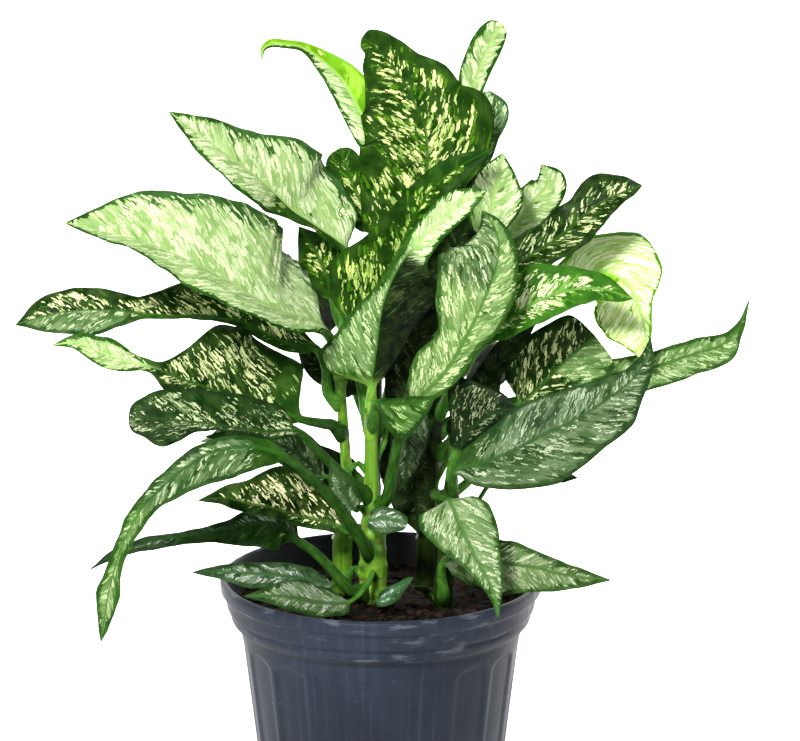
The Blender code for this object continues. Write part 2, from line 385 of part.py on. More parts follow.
         left=2.8, right=2.8, face=[(0, 0, 1), (-0.5, 0.5, 0.7)], fold=15, droop=0.1,
         wave=(0.3, 2, 0.2)),
    dict(name="leaf_40", cane="cane_right", at=28.0, way=(0.8, 0.6),
         stalk=[(7.2, 6.6, 30)],
         spine=[(9.2, 8.2, 31.3), (13.5, 11, 32.6), (17.5, 14, 31)],
         left=2.6, right=2.6, face=[(0, 0, 1), (0.5, 0.5, 0.7)], fold=15, droop=0.1,
         wave=(0.3, 2, 0.4)),
    dict(name="leaf_41", cane="cane_back", at=35.5, way=(0.8, -0.5),
         stalk=[(1.3, 3.7, 36.3)],
         spine=[(2.2, 2.8, 37.2), (2.9, 2.7, 42), (3.6, 2.6, 46.5), (4.3, 2.5, 51)],
         left=[(0.08, 2.2), (0.25, 2.4), (0.42, 1.9), (0.6, 2.4), (0.8, 1.6)],
         right=[(0.1, 1.6), (0.22, 1.9), (0.42, 3), (0.6, 3.1), (0.8, 2)],
         face=[(0, -0.95, 0.3)], fold=12, droop=0.1, wave=(0.1, 1.5, 0.2), seen=True),
    dict(name="leaf_42", cane="cane_right", at=31.0, way=(0.5, -0.9),
         stalk=[(5.4, 2, 33)],
         spine=[(5.9, 0.6, 35.4), (7.9, 0, 38.8), (9.6, -0.3, 41.6), (11, -0.4, 43.6),
                (12.7, -0.5, 45.4)],
         left=[(0.15, 1), (0.5, 1.3), (0.8, 1.2)],
         right=[(0.15, 1.2), (0.4, 1.5), (0.6, 0.6), (0.8, 0.7)],
         face=[(0, -0.95, 0.3)], fold=12, droop=0.1, wave=(0.1, 1.5, 0.4), seen=True),
    dict(name="leaf_43", cane="cane_main", at=29.6, way=(-0.8, -0.6),
         stalk=[(-1.9, -1.4, 29.9)],
         spine=[(-2.2, -2.1, 30.2), (-2.7, -2.8, 31.4), (-3.3, -3.5, 33), (-4.1, -4.2, 35)],
         left=[(0.12, 1.1), (0.35, 1.2), (0.65, 0.9), (0.85, 0.4)],
         right=[(0.12, 0.9), (0.35, 0.8), (0.65, 0.5), (0.85, 0.2)],
         face=[(0, -0.98, 0.2)], fold=10, droop=0.1, wave=(0.05, 1, 0.2), seen=True),
    dict(name="leaf_44", cane="cane_back", at=40.0, way=(1, 0.3),
         stalk=[(3, 6.6, 46), (6.2, 6.7, 52.5)],
         spine=[(8.2, 5.7, 57), (9, 5.5, 59.9), (9.2, 5.3, 62), (8.5, 5.1, 63.9)],
         left=[(0.2, 0.8), (0.6, 1.4), (0.85, 1)], right=[(0.2, 0.6), (0.45, 0.8), (0.75, 1.5),
                                                         (0.92, 0.9)],
         face=[(0, -1, 0.1)], fold=6, droop=0.1, wave=(0.08, 1, 0.3), seen=True, blunt=True),
    dict(name="leaf_45", cane="cane_main", at=37.3, way=(0.2, -1),
         stalk=[(-0.5, -2.1, 38.8)],
         spine=[(-0.3, -2.8, 39.3), (0.9, -4.1, 39.5), (2.5, -5.2, 39.9), (4.4, -5.9, 40.5)],
         left=[(0.15, 0.4), (0.5, 0.5), (0.8, 0.3)],
         right=[(0.12, 0.8), (0.3, 2.2), (0.45, 2.9), (0.7, 1.8), (0.88, 0.8)],
         face=[(0, -0.9, 0.5)], fold=-10, droop=0.1, wave=(0.05, 1, 0.1), seen=True),
    dict(name="leaf_46", cane="cane_right", at=43.8, way=(-1, -0.3),
         stalk=[(4.6, 3.5, 46)],
         spine=[(5.4, 3.2, 48.2), (6.4, 3, 51.5), (7.4, 2.8, 54.6), (8.2, 2.8, 57.6)],
         left=1.9, right=1.9, face=[(0, -0.98, 0.2)], fold=10, droop=0.1, wave=(0.1, 1, 0.4)),
    dict(name="leaf_47", cane="cane_right", at=36.2, way=(-0.9, -0.3),
         stalk=[(3.3, 3.3, 36.5)],
         spine=[(2.4, 2.8, 35.7), (2.6, 2.7, 33), (2.9, 2.6, 30), (3.2, 2.4, 26.8)],
         left=[(0.1, 1.4), (0.35, 1.8), (0.7, 1.6)], right=[(0.1, 2), (0.35, 2.7), (0.7, 2)],
         face=[(0, -0.95, 0.3)], fold=8, droop=0.1, wave=(0.1, 1, 0.1)),
    dict(name="leaf_48", cane="cane_back", at=30.4, way=(-0.8, -0.6),
         stalk=[(-1.8, 4, 31.1)],
         spine=[(-2.3, 3.7, 31.8), (-3.9, 3.5, 33.2), (-6, 3.4, 34.4)],
         left=[(0.15, 1.6), (0.5, 2.3), (0.8, 1.4)], right=[(0.15, 0.8), (0.5, 0.5), (0.8, 0.3)],
         face=[(0, -0.95, 0.3)], fold=6, droop=0.1, wave=(0.08, 1, 0.4)),
    dict(name="leaf_49", cane="cane_back", at=36.9, way=(-0.9, -0.4),
         stalk=[(-1.5, 4.3, 37.8)],
         spine=[(-1.9, 4.2, 38.6), (-3.5, 4, 40), (-5.3, 3.7, 41.2), (-7, 3.3, 42.8)],
         left=[(0.15, 1.1), (0.5, 1.3), (0.8, 0.8)], right=[(0.15, 1.6), (0.5, 1.9), (0.8, 1)],
         face=[(0, -0.95, 0.3)], fold=8, droop=0.1, wave=(0.08, 1, 0.2), seen=True),
]
# Base colour and roughness of the leaves of each tone; leaves not named here are "green".
TONES = {
    "pale": (0.33, 0.47, 0.24),
    "lime": (0.36, 0.52, 0.10),
    "dark": (0.05, 0.15, 0.03),
    "green": (0.13, 0.28, 0.08),
}
LEAF_ROUGHNESS = 0.42
PALE_LEAVES = ("leaf_03", "leaf_04", "leaf_05", "leaf_13", "leaf_17", "leaf_18", "leaf_43")
LIME_LEAVES = ("leaf_01", "leaf_20", "leaf_21", "leaf_22", "leaf_27", "leaf_30")
DARK_LEAVES = ("leaf_02", "leaf_06", "leaf_07", "leaf_08", "leaf_10", "leaf_14", "leaf_19",
               "leaf_24", "leaf_26", "leaf_33", "leaf_34", "leaf_41", "leaf_42", "leaf_44",
               "leaf_46", "leaf_47", "leaf_48", "leaf_49")
BLADE_ROWS = (0.0, 0.05, 0.14, 0.27, 0.41, 0.55, 0.69, 0.82, 0.93, 1.0)
FINE_ROWS = (0.0, 0.04, 0.1, 0.17, 0.26, 0.36, 0.46, 0.54, 0.62, 0.7, 0.79, 0.87, 0.94, 1.0)
SMALL_ROWS = (0.0, 0.08, 0.25, 0.45, 0.65, 0.85, 1.0)
SMALL_WIDTH = 2.0  # cm: a leaf narrower than this gets fewer rows and columns
BLADE_THICK = 0.11
TIP_WIDTH = 0.1
STALK_RADII = (0.55, 0.36)  # cm, at the root and at the blade
ROOT_STRETCH = 1.7  # the root of a stalk is cut upright against its cane
WIDEST_AT = 0.42
BEND_STEPS = 8  # straight steps in which a half blade is bent from midrib to margin
FRONT = Vector((0.0, 0.979, -0.204))  # the way along which the reach of a seen leaf is measured
LEAST_SEEN = 0.36  # a half blade that shows narrower than this share isn't widened further


def clear_scene():
    for obj in list(bpy.data.objects):
        bpy.data.objects.remove(obj, do_unlink=True)


def material(name, colour, roughness):
    made = bpy.data.materials.new(name)
    made.use_nodes = True
    shader = made.node_tree.nodes["Principled BSDF"]
    shader.inputs["Base Color"].default_value = (*colour, 1.0)
    shader.inputs["Roughness"].default_value = roughness
    return made


def add_object(name, points, faces, skin, smooth=True):
    """One closed mesh from points in cm. Every face is split into triangles as given."""
    mesh = bpy.data.meshes.new(name)
    mesh.from_pydata([Vector(p) * CM for p in points], [], faces)
    mesh.polygons.foreach_set("use_smooth", [smooth] * len(mesh.polygons))
    mesh.materials.append(skin)
    mesh.update()
    obj = bpy.data.objects.new(name, mesh)
    bpy.context.scene.collection.objects.link(obj)
    return obj


def outward(obj):
    """Turns the faces of a closed mesh outwards."""
    made = bmesh.new()
    made.from_mesh(obj.data)
    bmesh.ops.recalc_face_normals(made, faces=made.faces)
    made.to_mesh(obj.data)
    made.free()


def loft(rings):
    """Faces that join equal rings of points in a row and close both ends with fans."""
    points = [p for ring in rings for p in ring]
    size = len(rings[0])
    half = size // 2
    faces = []
    for row in range(len(rings) - 1):
        for i in range(size):
            a = row * size + i
            b = row * size + (i + 1) % size
            c = b + size
            d = a + size
            # The under side runs the other way round, so both sides split along one diagonal.
            if i < half:
                faces += [(a, b, c), (a, c, d)]
            else:
                faces += [(a, b, d), (b, c, d)]
    last = (len(rings) - 1) * size
    for i in range(1, size - 1):
        faces.append((0, i + 1, i))
        faces.append((last, last + i, last + i + 1))
    return points, faces


def volume_of(points, faces):
    """Six times the signed volume inside closed triangles."""
    return sum(Vector(points[a]).dot(Vector(points[b]).cross(Vector(points[c])))
               for a, b, c in faces)


def add_loft(name, rings, skin):
    """A closed mesh through the rings, turned to face outwards."""
    points, faces = loft(rings)
    if volume_of(points, faces) < 0:
        faces = [face[::-1] for face in faces]
    return add_object(name, points, faces, skin)


# ---------------------------------------------------------------- pot and soil


def body_radius(height):
    return BODY_TOP_RADIUS - BODY_SLOPE * (BODY_TOP_HEIGHT - height)


def fluted(angle_step, height):
    """Radius of the body at one of the steps round it: shallow panels with arched tops."""
    across = (angle_step % STEPS_PER_FLUTE) / STEPS_PER_FLUTE
    hollow = math.sin(math.pi * across) ** 2
    arch = ARCH_TOP - ARCH_DROP * (1 - math.sin(math.pi * across))
    below = min(max((arch - height) / 0.7, 0.0), 1.0)
    above_foot = min(max((height - 0.4) / 1.5, 0.0), 1.0)
    return body_radius(height) - FLUTE_DEPTH * hollow * below * above_foot


def circle(radius, height, steps):
    turns = [2 * math.pi * i / steps for i in range(steps)]
    return [(radius * math.cos(a), radius * math.sin(a), height) for a in turns]


def pot_rings():
    steps = FLUTES * STEPS_PER_FLUTE
    rings = [circle(r, h, steps) for r, h in POT_OUTER]
    for height in FLUTED_ROWS:
        ring = []
        for i in range(steps):
            radius = fluted(i, height)
            angle = 2 * math.pi * i / steps
            ring.append((radius * math.cos(angle), radius * math.sin(angle), height))
        rings.append(ring)
    rings.append(circle(FOOT_RADIUS + 0.05, 0.15, steps))
    rings.append(circle(FOOT_RADIUS - 0.1, 0.0, steps))
    return rings


def build_pot(skin):
    """A closed wall: down the outside, across the foot, and back up the inside to the lip."""
    steps = FLUTES * STEPS_PER_FLUTE
    outer = pot_rings()
    inner = [circle(r, h, steps) for r, h in [BASE_INNER, *reversed(COLLAR_INNER)]]
    inner += [circle(r, h, steps) for r, h in reversed(LIP_INNER)]
    rings = outer + inner
    points = [p for ring in rings for p in ring]
    faces = []
    foot = len(outer) - 1
    for row in range(len(rings)):
        if row == foot:
            continue
        after = (row + 1) % len(rings)
        for i in range(steps):
            j = (i + 1) % steps
            corners = (row * steps + i, row * steps + j, after * steps + j, after * steps + i)
            faces.append(corners)
    for row, height in ((foot, 0.0), (foot + 1, FLOOR_TOP)):
        points.append((0.0, 0.0, height))
        hub = len(points) - 1
        for i in range(steps):
            j = (i + 1) % steps
            faces.append((row * steps + i, row * steps + j, hub))
    obj = add_object("pot", points, faces, skin)
    outward(obj)
    return obj


def cane_axis(name, height):
    """Centre and radius of a cane at a height in cm."""
    row = CANES[name]
    for low, high in zip(row, row[1:]):
        if height <= high[2]:
            break
    share = (height - low[2]) / (high[2] - low[2])
    mixed = [a + (b - a) * share for a, b in zip(low, high)]
    return Vector((mixed[0], mixed[1], height)), mixed[3]


def soil_surface(radius, angle):
    bumps = 0.16 * math.sin(5 * angle + radius) + 0.12 * math.sin(9 * angle - 1.7 * radius)
    return SOIL_EDGE + SOIL_MOUND * (1 - (radius / 12) ** 2) + bumps * (radius / 12)


def build_soil(skin):
    """A plug that follows the inside of the pot, then plain holes for the canes."""
    gap = GAP / CM
    sides = circle(1.0, 0.0, SOIL_SIDES)
    angles = [2 * math.pi * i / SOIL_SIDES for i in range(SOIL_SIDES)]
    low = FLOOR_TOP + gap
    slack = 0.05
    profile = [
        (BASE_INNER[0] - gap - slack, low),
        (COLLAR_INNER[1][0] - gap - slack, COLLAR_INNER[1][1]),
        (COLLAR_INNER[0][0] - gap - slack, COLLAR_INNER[0][1]),
    ]
    rings = [[(r * x, r * y, h) for x, y, _ in sides] for r, h in profile]
    for radius in (COLLAR_INNER[0][0] - gap, 9.0, 5.0):
        ring = []
        for (x, y, _), angle in zip(sides, angles):
            height = soil_surface(radius, angle)
            ring.append((radius * x, radius * y, height))
        rings.append(ring)
    points = [(0.0, 0.0, low)] + [p for ring in rings for p in ring]
    points.append((0.0, 0.0, SOIL_EDGE + SOIL_MOUND))
    faces = []
    for i in range(SOIL_SIDES):
        j = (i + 1) % SOIL_SIDES
        faces.append((0, 1 + j, 1 + i))
        for row in range(len(rings) - 1):
            a = 1 + row * SOIL_SIDES
            b = a + SOIL_SIDES
            faces.append((a + i, a + j, b + j, b + i))
        last = 1 + (len(rings) - 1) * SOIL_SIDES
        faces.append((last + i, last + j, len(points) - 1))
    obj = add_object("soil", points, faces, skin)
    outward(obj)
    for name in CANES:
        cut_hole(obj, name)
    return obj


def cut_hole(obj, cane):
    """Cuts a plain hole for a cane, a hair wider and deeper than the cane."""
    gap = GAP / CM
    foot = CANES[cane][0]
    rings = []
    for height in (foot[2] - gap, 23.0):
        centre, radius = cane_axis(cane, max(height, foot[2]))
        turns = [2 * math.pi * i / CANE_SIDES for i in range(CANE_SIDES)]
        wide = (radius + 2.2 * gap) / math.cos(math.pi / CANE_SIDES)
        wide = max(wide, CANES[cane][1][3] + 3 * gap)
        rings.append([(centre.x + wide * math.cos(a), centre.y + wide * math.sin(a), height)
                      for a in turns])
    cutter = add_loft("hole_" + cane, rings, obj.data.materials[0])
    cutter.hide_render = True
    cutter.hide_viewport = True
    cut = obj.modifiers.new("hole_" + cane, "BOOLEAN")
    cut.operation = "DIFFERENCE"
    cut.solver = "EXACT"
    cut.object = cutter


# ---------------------------------------------------------------- canes and leaves


def build_cane(name, skin):
    rings = []
    for x, y, z, radius in CANES[name]:
        turns = [2 * math.pi * i / CANE_SIDES for i in range(CANE_SIDES)]
        rings.append([(x + radius * math.cos(a), y + radius * math.sin(a), z) for a in turns])
    return add_loft(name, rings, skin)


def smooth_path(points, substeps=12):
    """A dense curve through the points, and the place in it of each given point."""
    path = [points[0].copy()]
    places = [0]
    for i in range(len(points) - 1):
        here, after = points[i], points[i + 1]
        before = points[i - 1] if i else here - (after - here)
        beyond = points[i + 2] if i + 2 < len(points) else after + (after - here)
        step = (after - here).length
        first = (here - before).length
        second = (beyond - after).length
        leave = ((here - before) / first * step + (after - here) / step * first) / (first + step)
        reach = ((after - here) / step * second + (beyond - after) / second * step)
        reach = reach / (step + second)
        for k in range(1, substeps + 1):
            t = k / substeps
            path.append(
                here * (2 * t**3 - 3 * t**2 + 1)
                + leave * step * (t**3 - 2 * t**2 + t)
                + after * (3 * t**2 - 2 * t**3)
                + reach * step * (t**3 - t**2)
            )
        places.append(len(path) - 1)
    return path, places


def stations(path, shares):
    """Points and directions along a dense path at shares of its length."""
    lengths = [0.0]
    for a, b in zip(path, path[1:]):
        lengths.append(lengths[-1] + (b - a).length)
    found = []
    for share in shares:
        wanted = share * lengths[-1]
        i = 0
        while i < len(path) - 2 and lengths[i + 1] < wanted:
            i += 1
        part = (wanted - lengths[i]) / (lengths[i + 1] - lengths[i])
        along = (path[min(i + 2, len(path) - 1)] - path[max(i - 1, 0)]).normalized()
        found.append((path[i].lerp(path[i + 1], part), along))
    return found


def mixed_face(faces, share):
    """The direction the upper face looks at a share of the blade's length."""
    if len(faces) == 1:
        return Vector(faces[0])
    spot = share * (len(faces) - 1)
    i = min(int(spot), len(faces) - 2)
    return Vector(faces[i]).lerp(Vector(faces[i + 1]), spot - i)


def value_at(given, share):
    """A plain number, or the value at a share of the length from (share, value) pairs."""
    if not isinstance(given, list):
        return given
    if share <= given[0][0]:
        return given[0][1]
    for low, high in zip(given, given[1:]):
        if share <= high[0]:
            part = (share - low[0]) / (high[0] - low[0])
            return low[1] + (high[1] - low[1]) * part * part * (3 - 2 * part)
    return given[-1][1]


def outline(share):
    """Half the width of a blade as a share of its widest, from foot to tip."""
    if share < WIDEST_AT:
        return math.sqrt(max(1 - (1 - share / WIDEST_AT) ** 2, 0.0)) ** 0.9
    late = (share - WIDEST_AT) / (1 - WIDEST_AT)
    return (1 - late**1.9) * (1 - 0.12 * math.sin(math.pi * late))


def knot_slopes(knots):
    """Slopes at the inner knots that keep the curve through them from overshooting."""
    found = []
    for low, here, high in zip(knots, knots[1:], knots[2:]):
        before = (here[1] - low[1]) / (here[0] - low[0])
        after = (high[1] - here[1]) / (high[0] - here[0])
        found.append(2 * before * after / (before + after) if before * after > 0 else 0.0)
    return found


def half_width(wide, share, blunt=False):
    """Half width in cm at a share of the length, from one number or from (share, cm) pairs."""
    if not isinstance(wide, list):
        return wide * outline(share)
    knots = [(0.0, 0.0), *wide, (1.0, 0.0)]
    slopes = [0.0, *knot_slopes(knots), -wide[-1][1] / (1 - wide[-1][0])]
    i = 0
    while i < len(knots) - 2 and share > knots[i + 1][0]:
        i += 1
    low, high = knots[i], knots[i + 1]
    step = high[0] - low[0]
    part = (share - low[0]) / step
    if i == 0:
        round_start = high[1] * math.sqrt(max(1 - (1 - part) ** 2, 0.0))
        return round_start + slopes[1] * step * (part**3 - part**2)
    if blunt and i == len(knots) - 2:
        round_end = low[1] * math.sqrt(max(1 - part**2, 0.0))
        return round_end + slopes[i] * step * (part**3 - 2 * part**2 + part)
    return (low[1] * (2 * part**3 - 3 * part**2 + 1) + high[1] * (3 * part**2 - 2 * part**3)
            + slopes[i] * step * (part**3 - 2 * part**2 + part)
            + slopes[i + 1] * step * (part**3 - part**2))


def widest(row):
    sides = (row["left"], row["right"])
    return max(max(w for _, w in side) if isinstance(side, list) else side for side in sides)


def seen_share(side, up, sign, lift):
    """How much of the width of a half blade shows from the front."""
    along = up.cross(side)
    along = along - FRONT * along.dot(FRONT)
    if along.length < 0.2:
        return 1.0
    along.normalize()
    out = side * (sign * math.cos(lift)) + up * math.sin(lift)
    out = out - FRONT * out.dot(FRONT)
    return max((out - along * out.dot(along)).length, LEAST_SEEN)


def half_profile(row, share, side, up, sign):
    """Offsets in cm from the midrib to one margin, in equal steps across the half blade."""
    hand = "left" if sign < 0 else "right"
    fold = math.radians(value_at(row.get("fold_" + hand, row["fold"]), share))
    reach = half_width(row[hand], share, row.get("blunt", False))
    if row.get("seen", False):
        reach /= seen_share(side, up, sign, fold - row["droop"])
    reach += TIP_WIDTH / 2
    x = y = 0.0
    profile = [(0.0, 0.0)]
    for i in range(BEND_STEPS):
        angle = fold - 2 * row["droop"] * (i + 0.5) / BEND_STEPS
        x += math.cos(angle) * reach / BEND_STEPS
        y += math.sin(angle) * reach / BEND_STEPS
        profile.append((sign * x, y))
    return profile


def blade_profiles(row, share, side, up):
    return [half_profile(row, share, side, up, sign) for sign in (-1, 1)]


def blade_offset(row, share, u, profiles):
    """Sideways and upward offset in cm of the blade's middle layer; u runs from -1 to 1."""
    profile = profiles[1 if u > 0 else 0]
    spot = abs(u) * BEND_STEPS
    i = min(int(spot), BEND_STEPS - 1)
    near, far = profile[i], profile[i + 1]
    high, count, phase = row["wave"]
    turn = count * share + phase + (0.37 if u > 0 else 0.0)
    calm = min(share / 0.2, 1.0) * min((1 - share) / 0.15, 1.0)
    waved = high * abs(u) ** 1.5 * math.sin(2 * math.pi * turn) * calm
    side = near[0] + (far[0] - near[0]) * (spot - i)
    return side, near[1] + (far[1] - near[1]) * (spot - i) + waved


def stalk_radius(row, share):
    """Radius of the stalk in cm; share runs from -1 at its root to 0 at the blade."""
    root, end = (0.27, 0.2) if widest(row) < SMALL_WIDTH else STALK_RADII
    return end + (root - end) * -min(share, 0.0)


def leaf_ring(row, share, side, up, columns):
    """One closed ring across a leaf as (sideways, upward) pairs; share below 0 is the stalk."""
    stalk = stalk_radius(row, share)
    size = 2 * columns
    tube = []
    for i in range(size):
        turn = math.pi - (i + 0.5) * 2 * math.pi / size
        tube.append((stalk * math.cos(turn), stalk * math.sin(turn)))
    if share <= 0:
        return tube
    profiles = blade_profiles(row, share, side, up)
    blade = []
    rib = 0.6 * stalk * (1 - share) ** 1.5
    for i in range(size):
        j = i if i < columns else size - 1 - i
        u = 2 * j / (columns - 1) - 1
        across, height = blade_offset(row, share, u, profiles)
        thick = BLADE_THICK / 2
        if i >= columns:
            middle = max(1 - abs(u) * 4, 0.0)
            thick = -thick - rib * middle
        blade.append((across, height + thick))
    open_by = min(share / 0.06, 1.0)
    open_by = open_by * open_by * (3 - 2 * open_by)
    return [
        (a[0] + (b[0] - a[0]) * open_by, a[1] + (b[1] - a[1]) * open_by)
        for a, b in zip(tube, blade)
    ]


def leaf_root(row):
    """Where the stalk starts, just clear of its cane, and the direction in which it leaves."""
    gap = GAP / CM
    if row["at"] == "top":
        top = Vector(CANES[row["cane"]][-1][:3])
        return top + Vector((0, 0, gap)), Vector((0, 0, 1))
    way = Vector((*row["way"], 0.0)).normalized()
    middle, _ = cane_axis(row["cane"], row["at"])
    tall = stalk_radius(row, -1.0) * ROOT_STRETCH
    reach = 0.0
    for i in range(-6, 7):
        centre, radius = cane_axis(row["cane"], row["at"] + tall * i / 6)
        reach = max(reach, (centre - middle).dot(way) + radius)
    return middle + way * (reach + gap), way


def leaf_frames(row, blade_rows, stalk_rows):
    """Points and axes from the root of the stalk to the tip of the blade."""
    root, start = leaf_root(row)
    rise = Vector((0, 0, 0.5 if row["at"] != "top" else 0.0))
    near = root + start * 0.45 + rise
    given = [root, near] + [Vector(p) for p in row["stalk"]] + [Vector(p) for p in row["spine"]]
    path, places = smooth_path(given)
    foot = places[2 + len(row["stalk"])]
    blade = stations(path[foot:], blade_rows)
    stalk = stations(path[: foot + 1], [i / stalk_rows for i in range(stalk_rows)])
    frames = []
    for (spot, along), share in zip(blade, blade_rows):
        face = mixed_face(row["face"], share)
        side = along.cross(face).normalized()
        frames.append((share, spot, side, side.cross(along).normalized()))
    side = frames[0][2]
    before = []
    for i in range(stalk_rows - 1, -1, -1):
        spot, along = stalk[i]
        if i == 0:
            along = start
        side = (side - along * side.dot(along)).normalized()
        share = i / stalk_rows - 1
        before.append((share, spot, side, side.cross(along).normalized()))
    return before[::-1] + frames


def build_leaf(row, skin):
    small = widest(row) < SMALL_WIDTH
    columns = 3 if small else 5
    rows = SMALL_ROWS if small else BLADE_ROWS
    if row.get("fine", False):
        rows = FINE_ROWS
    rings = []
    for share, spot, side, up in leaf_frames(row, rows, 1 + 2 * len(row["stalk"])):
        ring = leaf_ring(row, share, side, up, columns)
        rings.append([spot + side * x + up * y for x, y in ring])
    if row["at"] != "top":
        centre = sum(rings[0], Vector()) / len(rings[0])
        for point in rings[0]:
            point.z = centre.z + (point.z - centre.z) * ROOT_STRETCH
    return add_loft(row["name"], rings, skin)


def tone_of(name):
    if name in PALE_LEAVES:
        return "pale"
    if name in LIME_LEAVES:
        return "lime"
    return "dark" if name in DARK_LEAVES else "green"


def main():
    clear_scene()
    build_pot(material("pot_plastic", (0.045, 0.055, 0.075), 0.45))
    build_soil(material("soil_mix", (0.06, 0.035, 0.025), 0.95))
    for name in CANES:
        build_cane(name, material(name, (0.17, 0.3, 0.06), 0.5))
    for row in LEAVES:
        colour = TONES[tone_of(row["name"])]
        build_leaf(row, material(row["name"], colour, LEAF_ROUGHNESS))


main()
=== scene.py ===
"""Looks of a dieffenbachia in a round nursery pot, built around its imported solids.

Metres, +Z up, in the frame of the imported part. Tables are in cm. Each leaf and cane, the pot and
the soil are finer versions of their CAD nodes, made from the same named values, and replace them.
"""

import math
import random

import bpy
from mathutils import Euler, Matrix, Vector, noise

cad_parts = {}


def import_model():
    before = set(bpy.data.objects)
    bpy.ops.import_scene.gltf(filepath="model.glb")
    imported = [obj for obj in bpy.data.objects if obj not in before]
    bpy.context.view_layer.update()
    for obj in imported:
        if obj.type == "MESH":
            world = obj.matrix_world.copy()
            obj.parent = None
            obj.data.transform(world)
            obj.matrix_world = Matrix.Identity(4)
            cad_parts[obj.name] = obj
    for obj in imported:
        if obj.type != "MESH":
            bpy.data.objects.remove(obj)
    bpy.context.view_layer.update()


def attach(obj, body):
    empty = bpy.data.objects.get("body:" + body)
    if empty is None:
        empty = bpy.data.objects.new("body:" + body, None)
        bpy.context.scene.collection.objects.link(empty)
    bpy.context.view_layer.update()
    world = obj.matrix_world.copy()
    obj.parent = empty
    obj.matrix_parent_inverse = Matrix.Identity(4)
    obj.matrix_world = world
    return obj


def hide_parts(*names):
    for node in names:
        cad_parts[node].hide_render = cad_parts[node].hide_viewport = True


CM = 0.01
GAP = 0.03  # cm between pieces that touch

# Pot: outer profile as (radius, height) in cm, from the top of the lip down to the foot.
POT_OUTER = [(13.25, 24.0), (13.47, 23.85), (13.52, 23.5), (13.45, 22.9), (13.08, 22.65),
    (12.95, 21.5), (12.6, 21.2), (12.68, 20.85), (12.5, 20.35), (11.8, 19.85)]
LIP_INNER = [(13.02, 23.98), (12.86, 23.7)]
COLLAR_INNER = [(12.4, 21.0), (11.55, 19.7)]
BASE_INNER = (9.35, 0.35)
BODY_TOP = (11.83, 19.85)
BODY_SLOPE = 0.118  # cm of radius lost for each cm down
FOOT_RADIUS = 9.45
FLUTES = 18
FLUTE_DEPTH = 0.17
ARCH_TOP = 18.9
ARCH_DROP = 1.5

# Soil: fills the pot to below the lip, with its surface a little uneven.
SOIL_EDGE = 21.3
SOIL_MOUND = 0.35

# Canes: name -> points (x, y, z, radius) in cm, from the foot in the soil to the top.
CANES = {
    "cane_main": [(-0.65, 0.1, 17.0, 1.15), (-0.65, 0.1, 21.5, 1.22), (-0.65, 0.1, 24.4, 1.15),
        (-0.65, 0.0, 24.8, 1.28), (-0.65, 0.0, 25.2, 1.14), (-0.7, -0.1, 27.2, 1.08),
        (-0.7, -0.1, 27.6, 1.18), (-0.7, -0.1, 28.0, 0.98), (-0.75, -0.2, 30.5, 0.68),
        (-0.8, -0.3, 35.0, 0.56), (-0.75, -0.6, 38.5, 0.58)],
    "cane_left": [(-3.3, 2.5, 17.0, 0.92), (-3.3, 2.4, 23.0, 0.9), (-3.3, 2.4, 23.3, 1.0),
        (-3.3, 2.4, 23.6, 0.88), (-3.25, 2.3, 26.2, 0.84), (-3.25, 2.3, 26.5, 0.93),
        (-3.2, 2.3, 26.8, 0.8), (-3.0, 2.2, 29.5, 0.54), (-2.9, 1.9, 33.0, 0.46),
        (-3.2, 1.3, 37.7, 0.45), (-3.45, 0.8, 40.8, 0.46), (-3.6, 0.4, 42.0, 0.55)],
    "cane_back": [(-0.8, 5.0, 17.0, 0.8), (-0.8, 5.0, 25.0, 0.78), (-0.8, 5.0, 25.3, 0.86),
        (-0.8, 5.0, 25.6, 0.76), (-0.6, 5.0, 35.0, 0.7), (-0.4, 5.2, 44.0, 0.62)],
    "cane_right": [(3.6, 4.6, 17.0, 0.85), (3.9, 4.5, 25.5, 0.82), (3.9, 4.5, 25.8, 0.92),
        (3.9, 4.5, 26.1, 0.8), (4.4, 4.3, 33.0, 0.72), (5.4, 3.9, 45.0, 0.6)],
    "cane_front": [(5.0, -1.9, 17.0, 0.8), (5.2, -2.1, 23.6, 0.76), (5.2, -2.2, 23.9, 0.84),
        (5.25, -2.3, 24.2, 0.72), (5.5, -3.0, 30.0, 0.62), (5.8, -3.4, 33.0, 0.58)],
}


def leaf(cane, at, way, stalk, spine, left, right, face, fold, wave, droop=0.1, seen=False,
         blunt=False, **folds):
    """How a leaf shows: which cane carries it, at what height in cm and towards which side, the
    way of its stalk, its midrib from the foot of the blade to the tip, the widest reach to the
    left and right of the midrib, the directions in which the upper face looks from foot to tip,
    how far the two halves fold up (degrees), its waves (height in cm, number along the blade,
    phase in turns) and how far the margins droop (share of the width). A reach or fold that
    changes along the blade is a list of (share of the length, value). "seen" leaves give their
    reach as it shows from the front, and "blunt" ones end round."""
    return dict(cane="cane_" + cane, at=at, way=way, stalk=stalk, spine=spine, left=left,
                right=right, face=face, fold=fold, wave=wave, droop=droop, seen=seen, blunt=blunt,
                **folds)


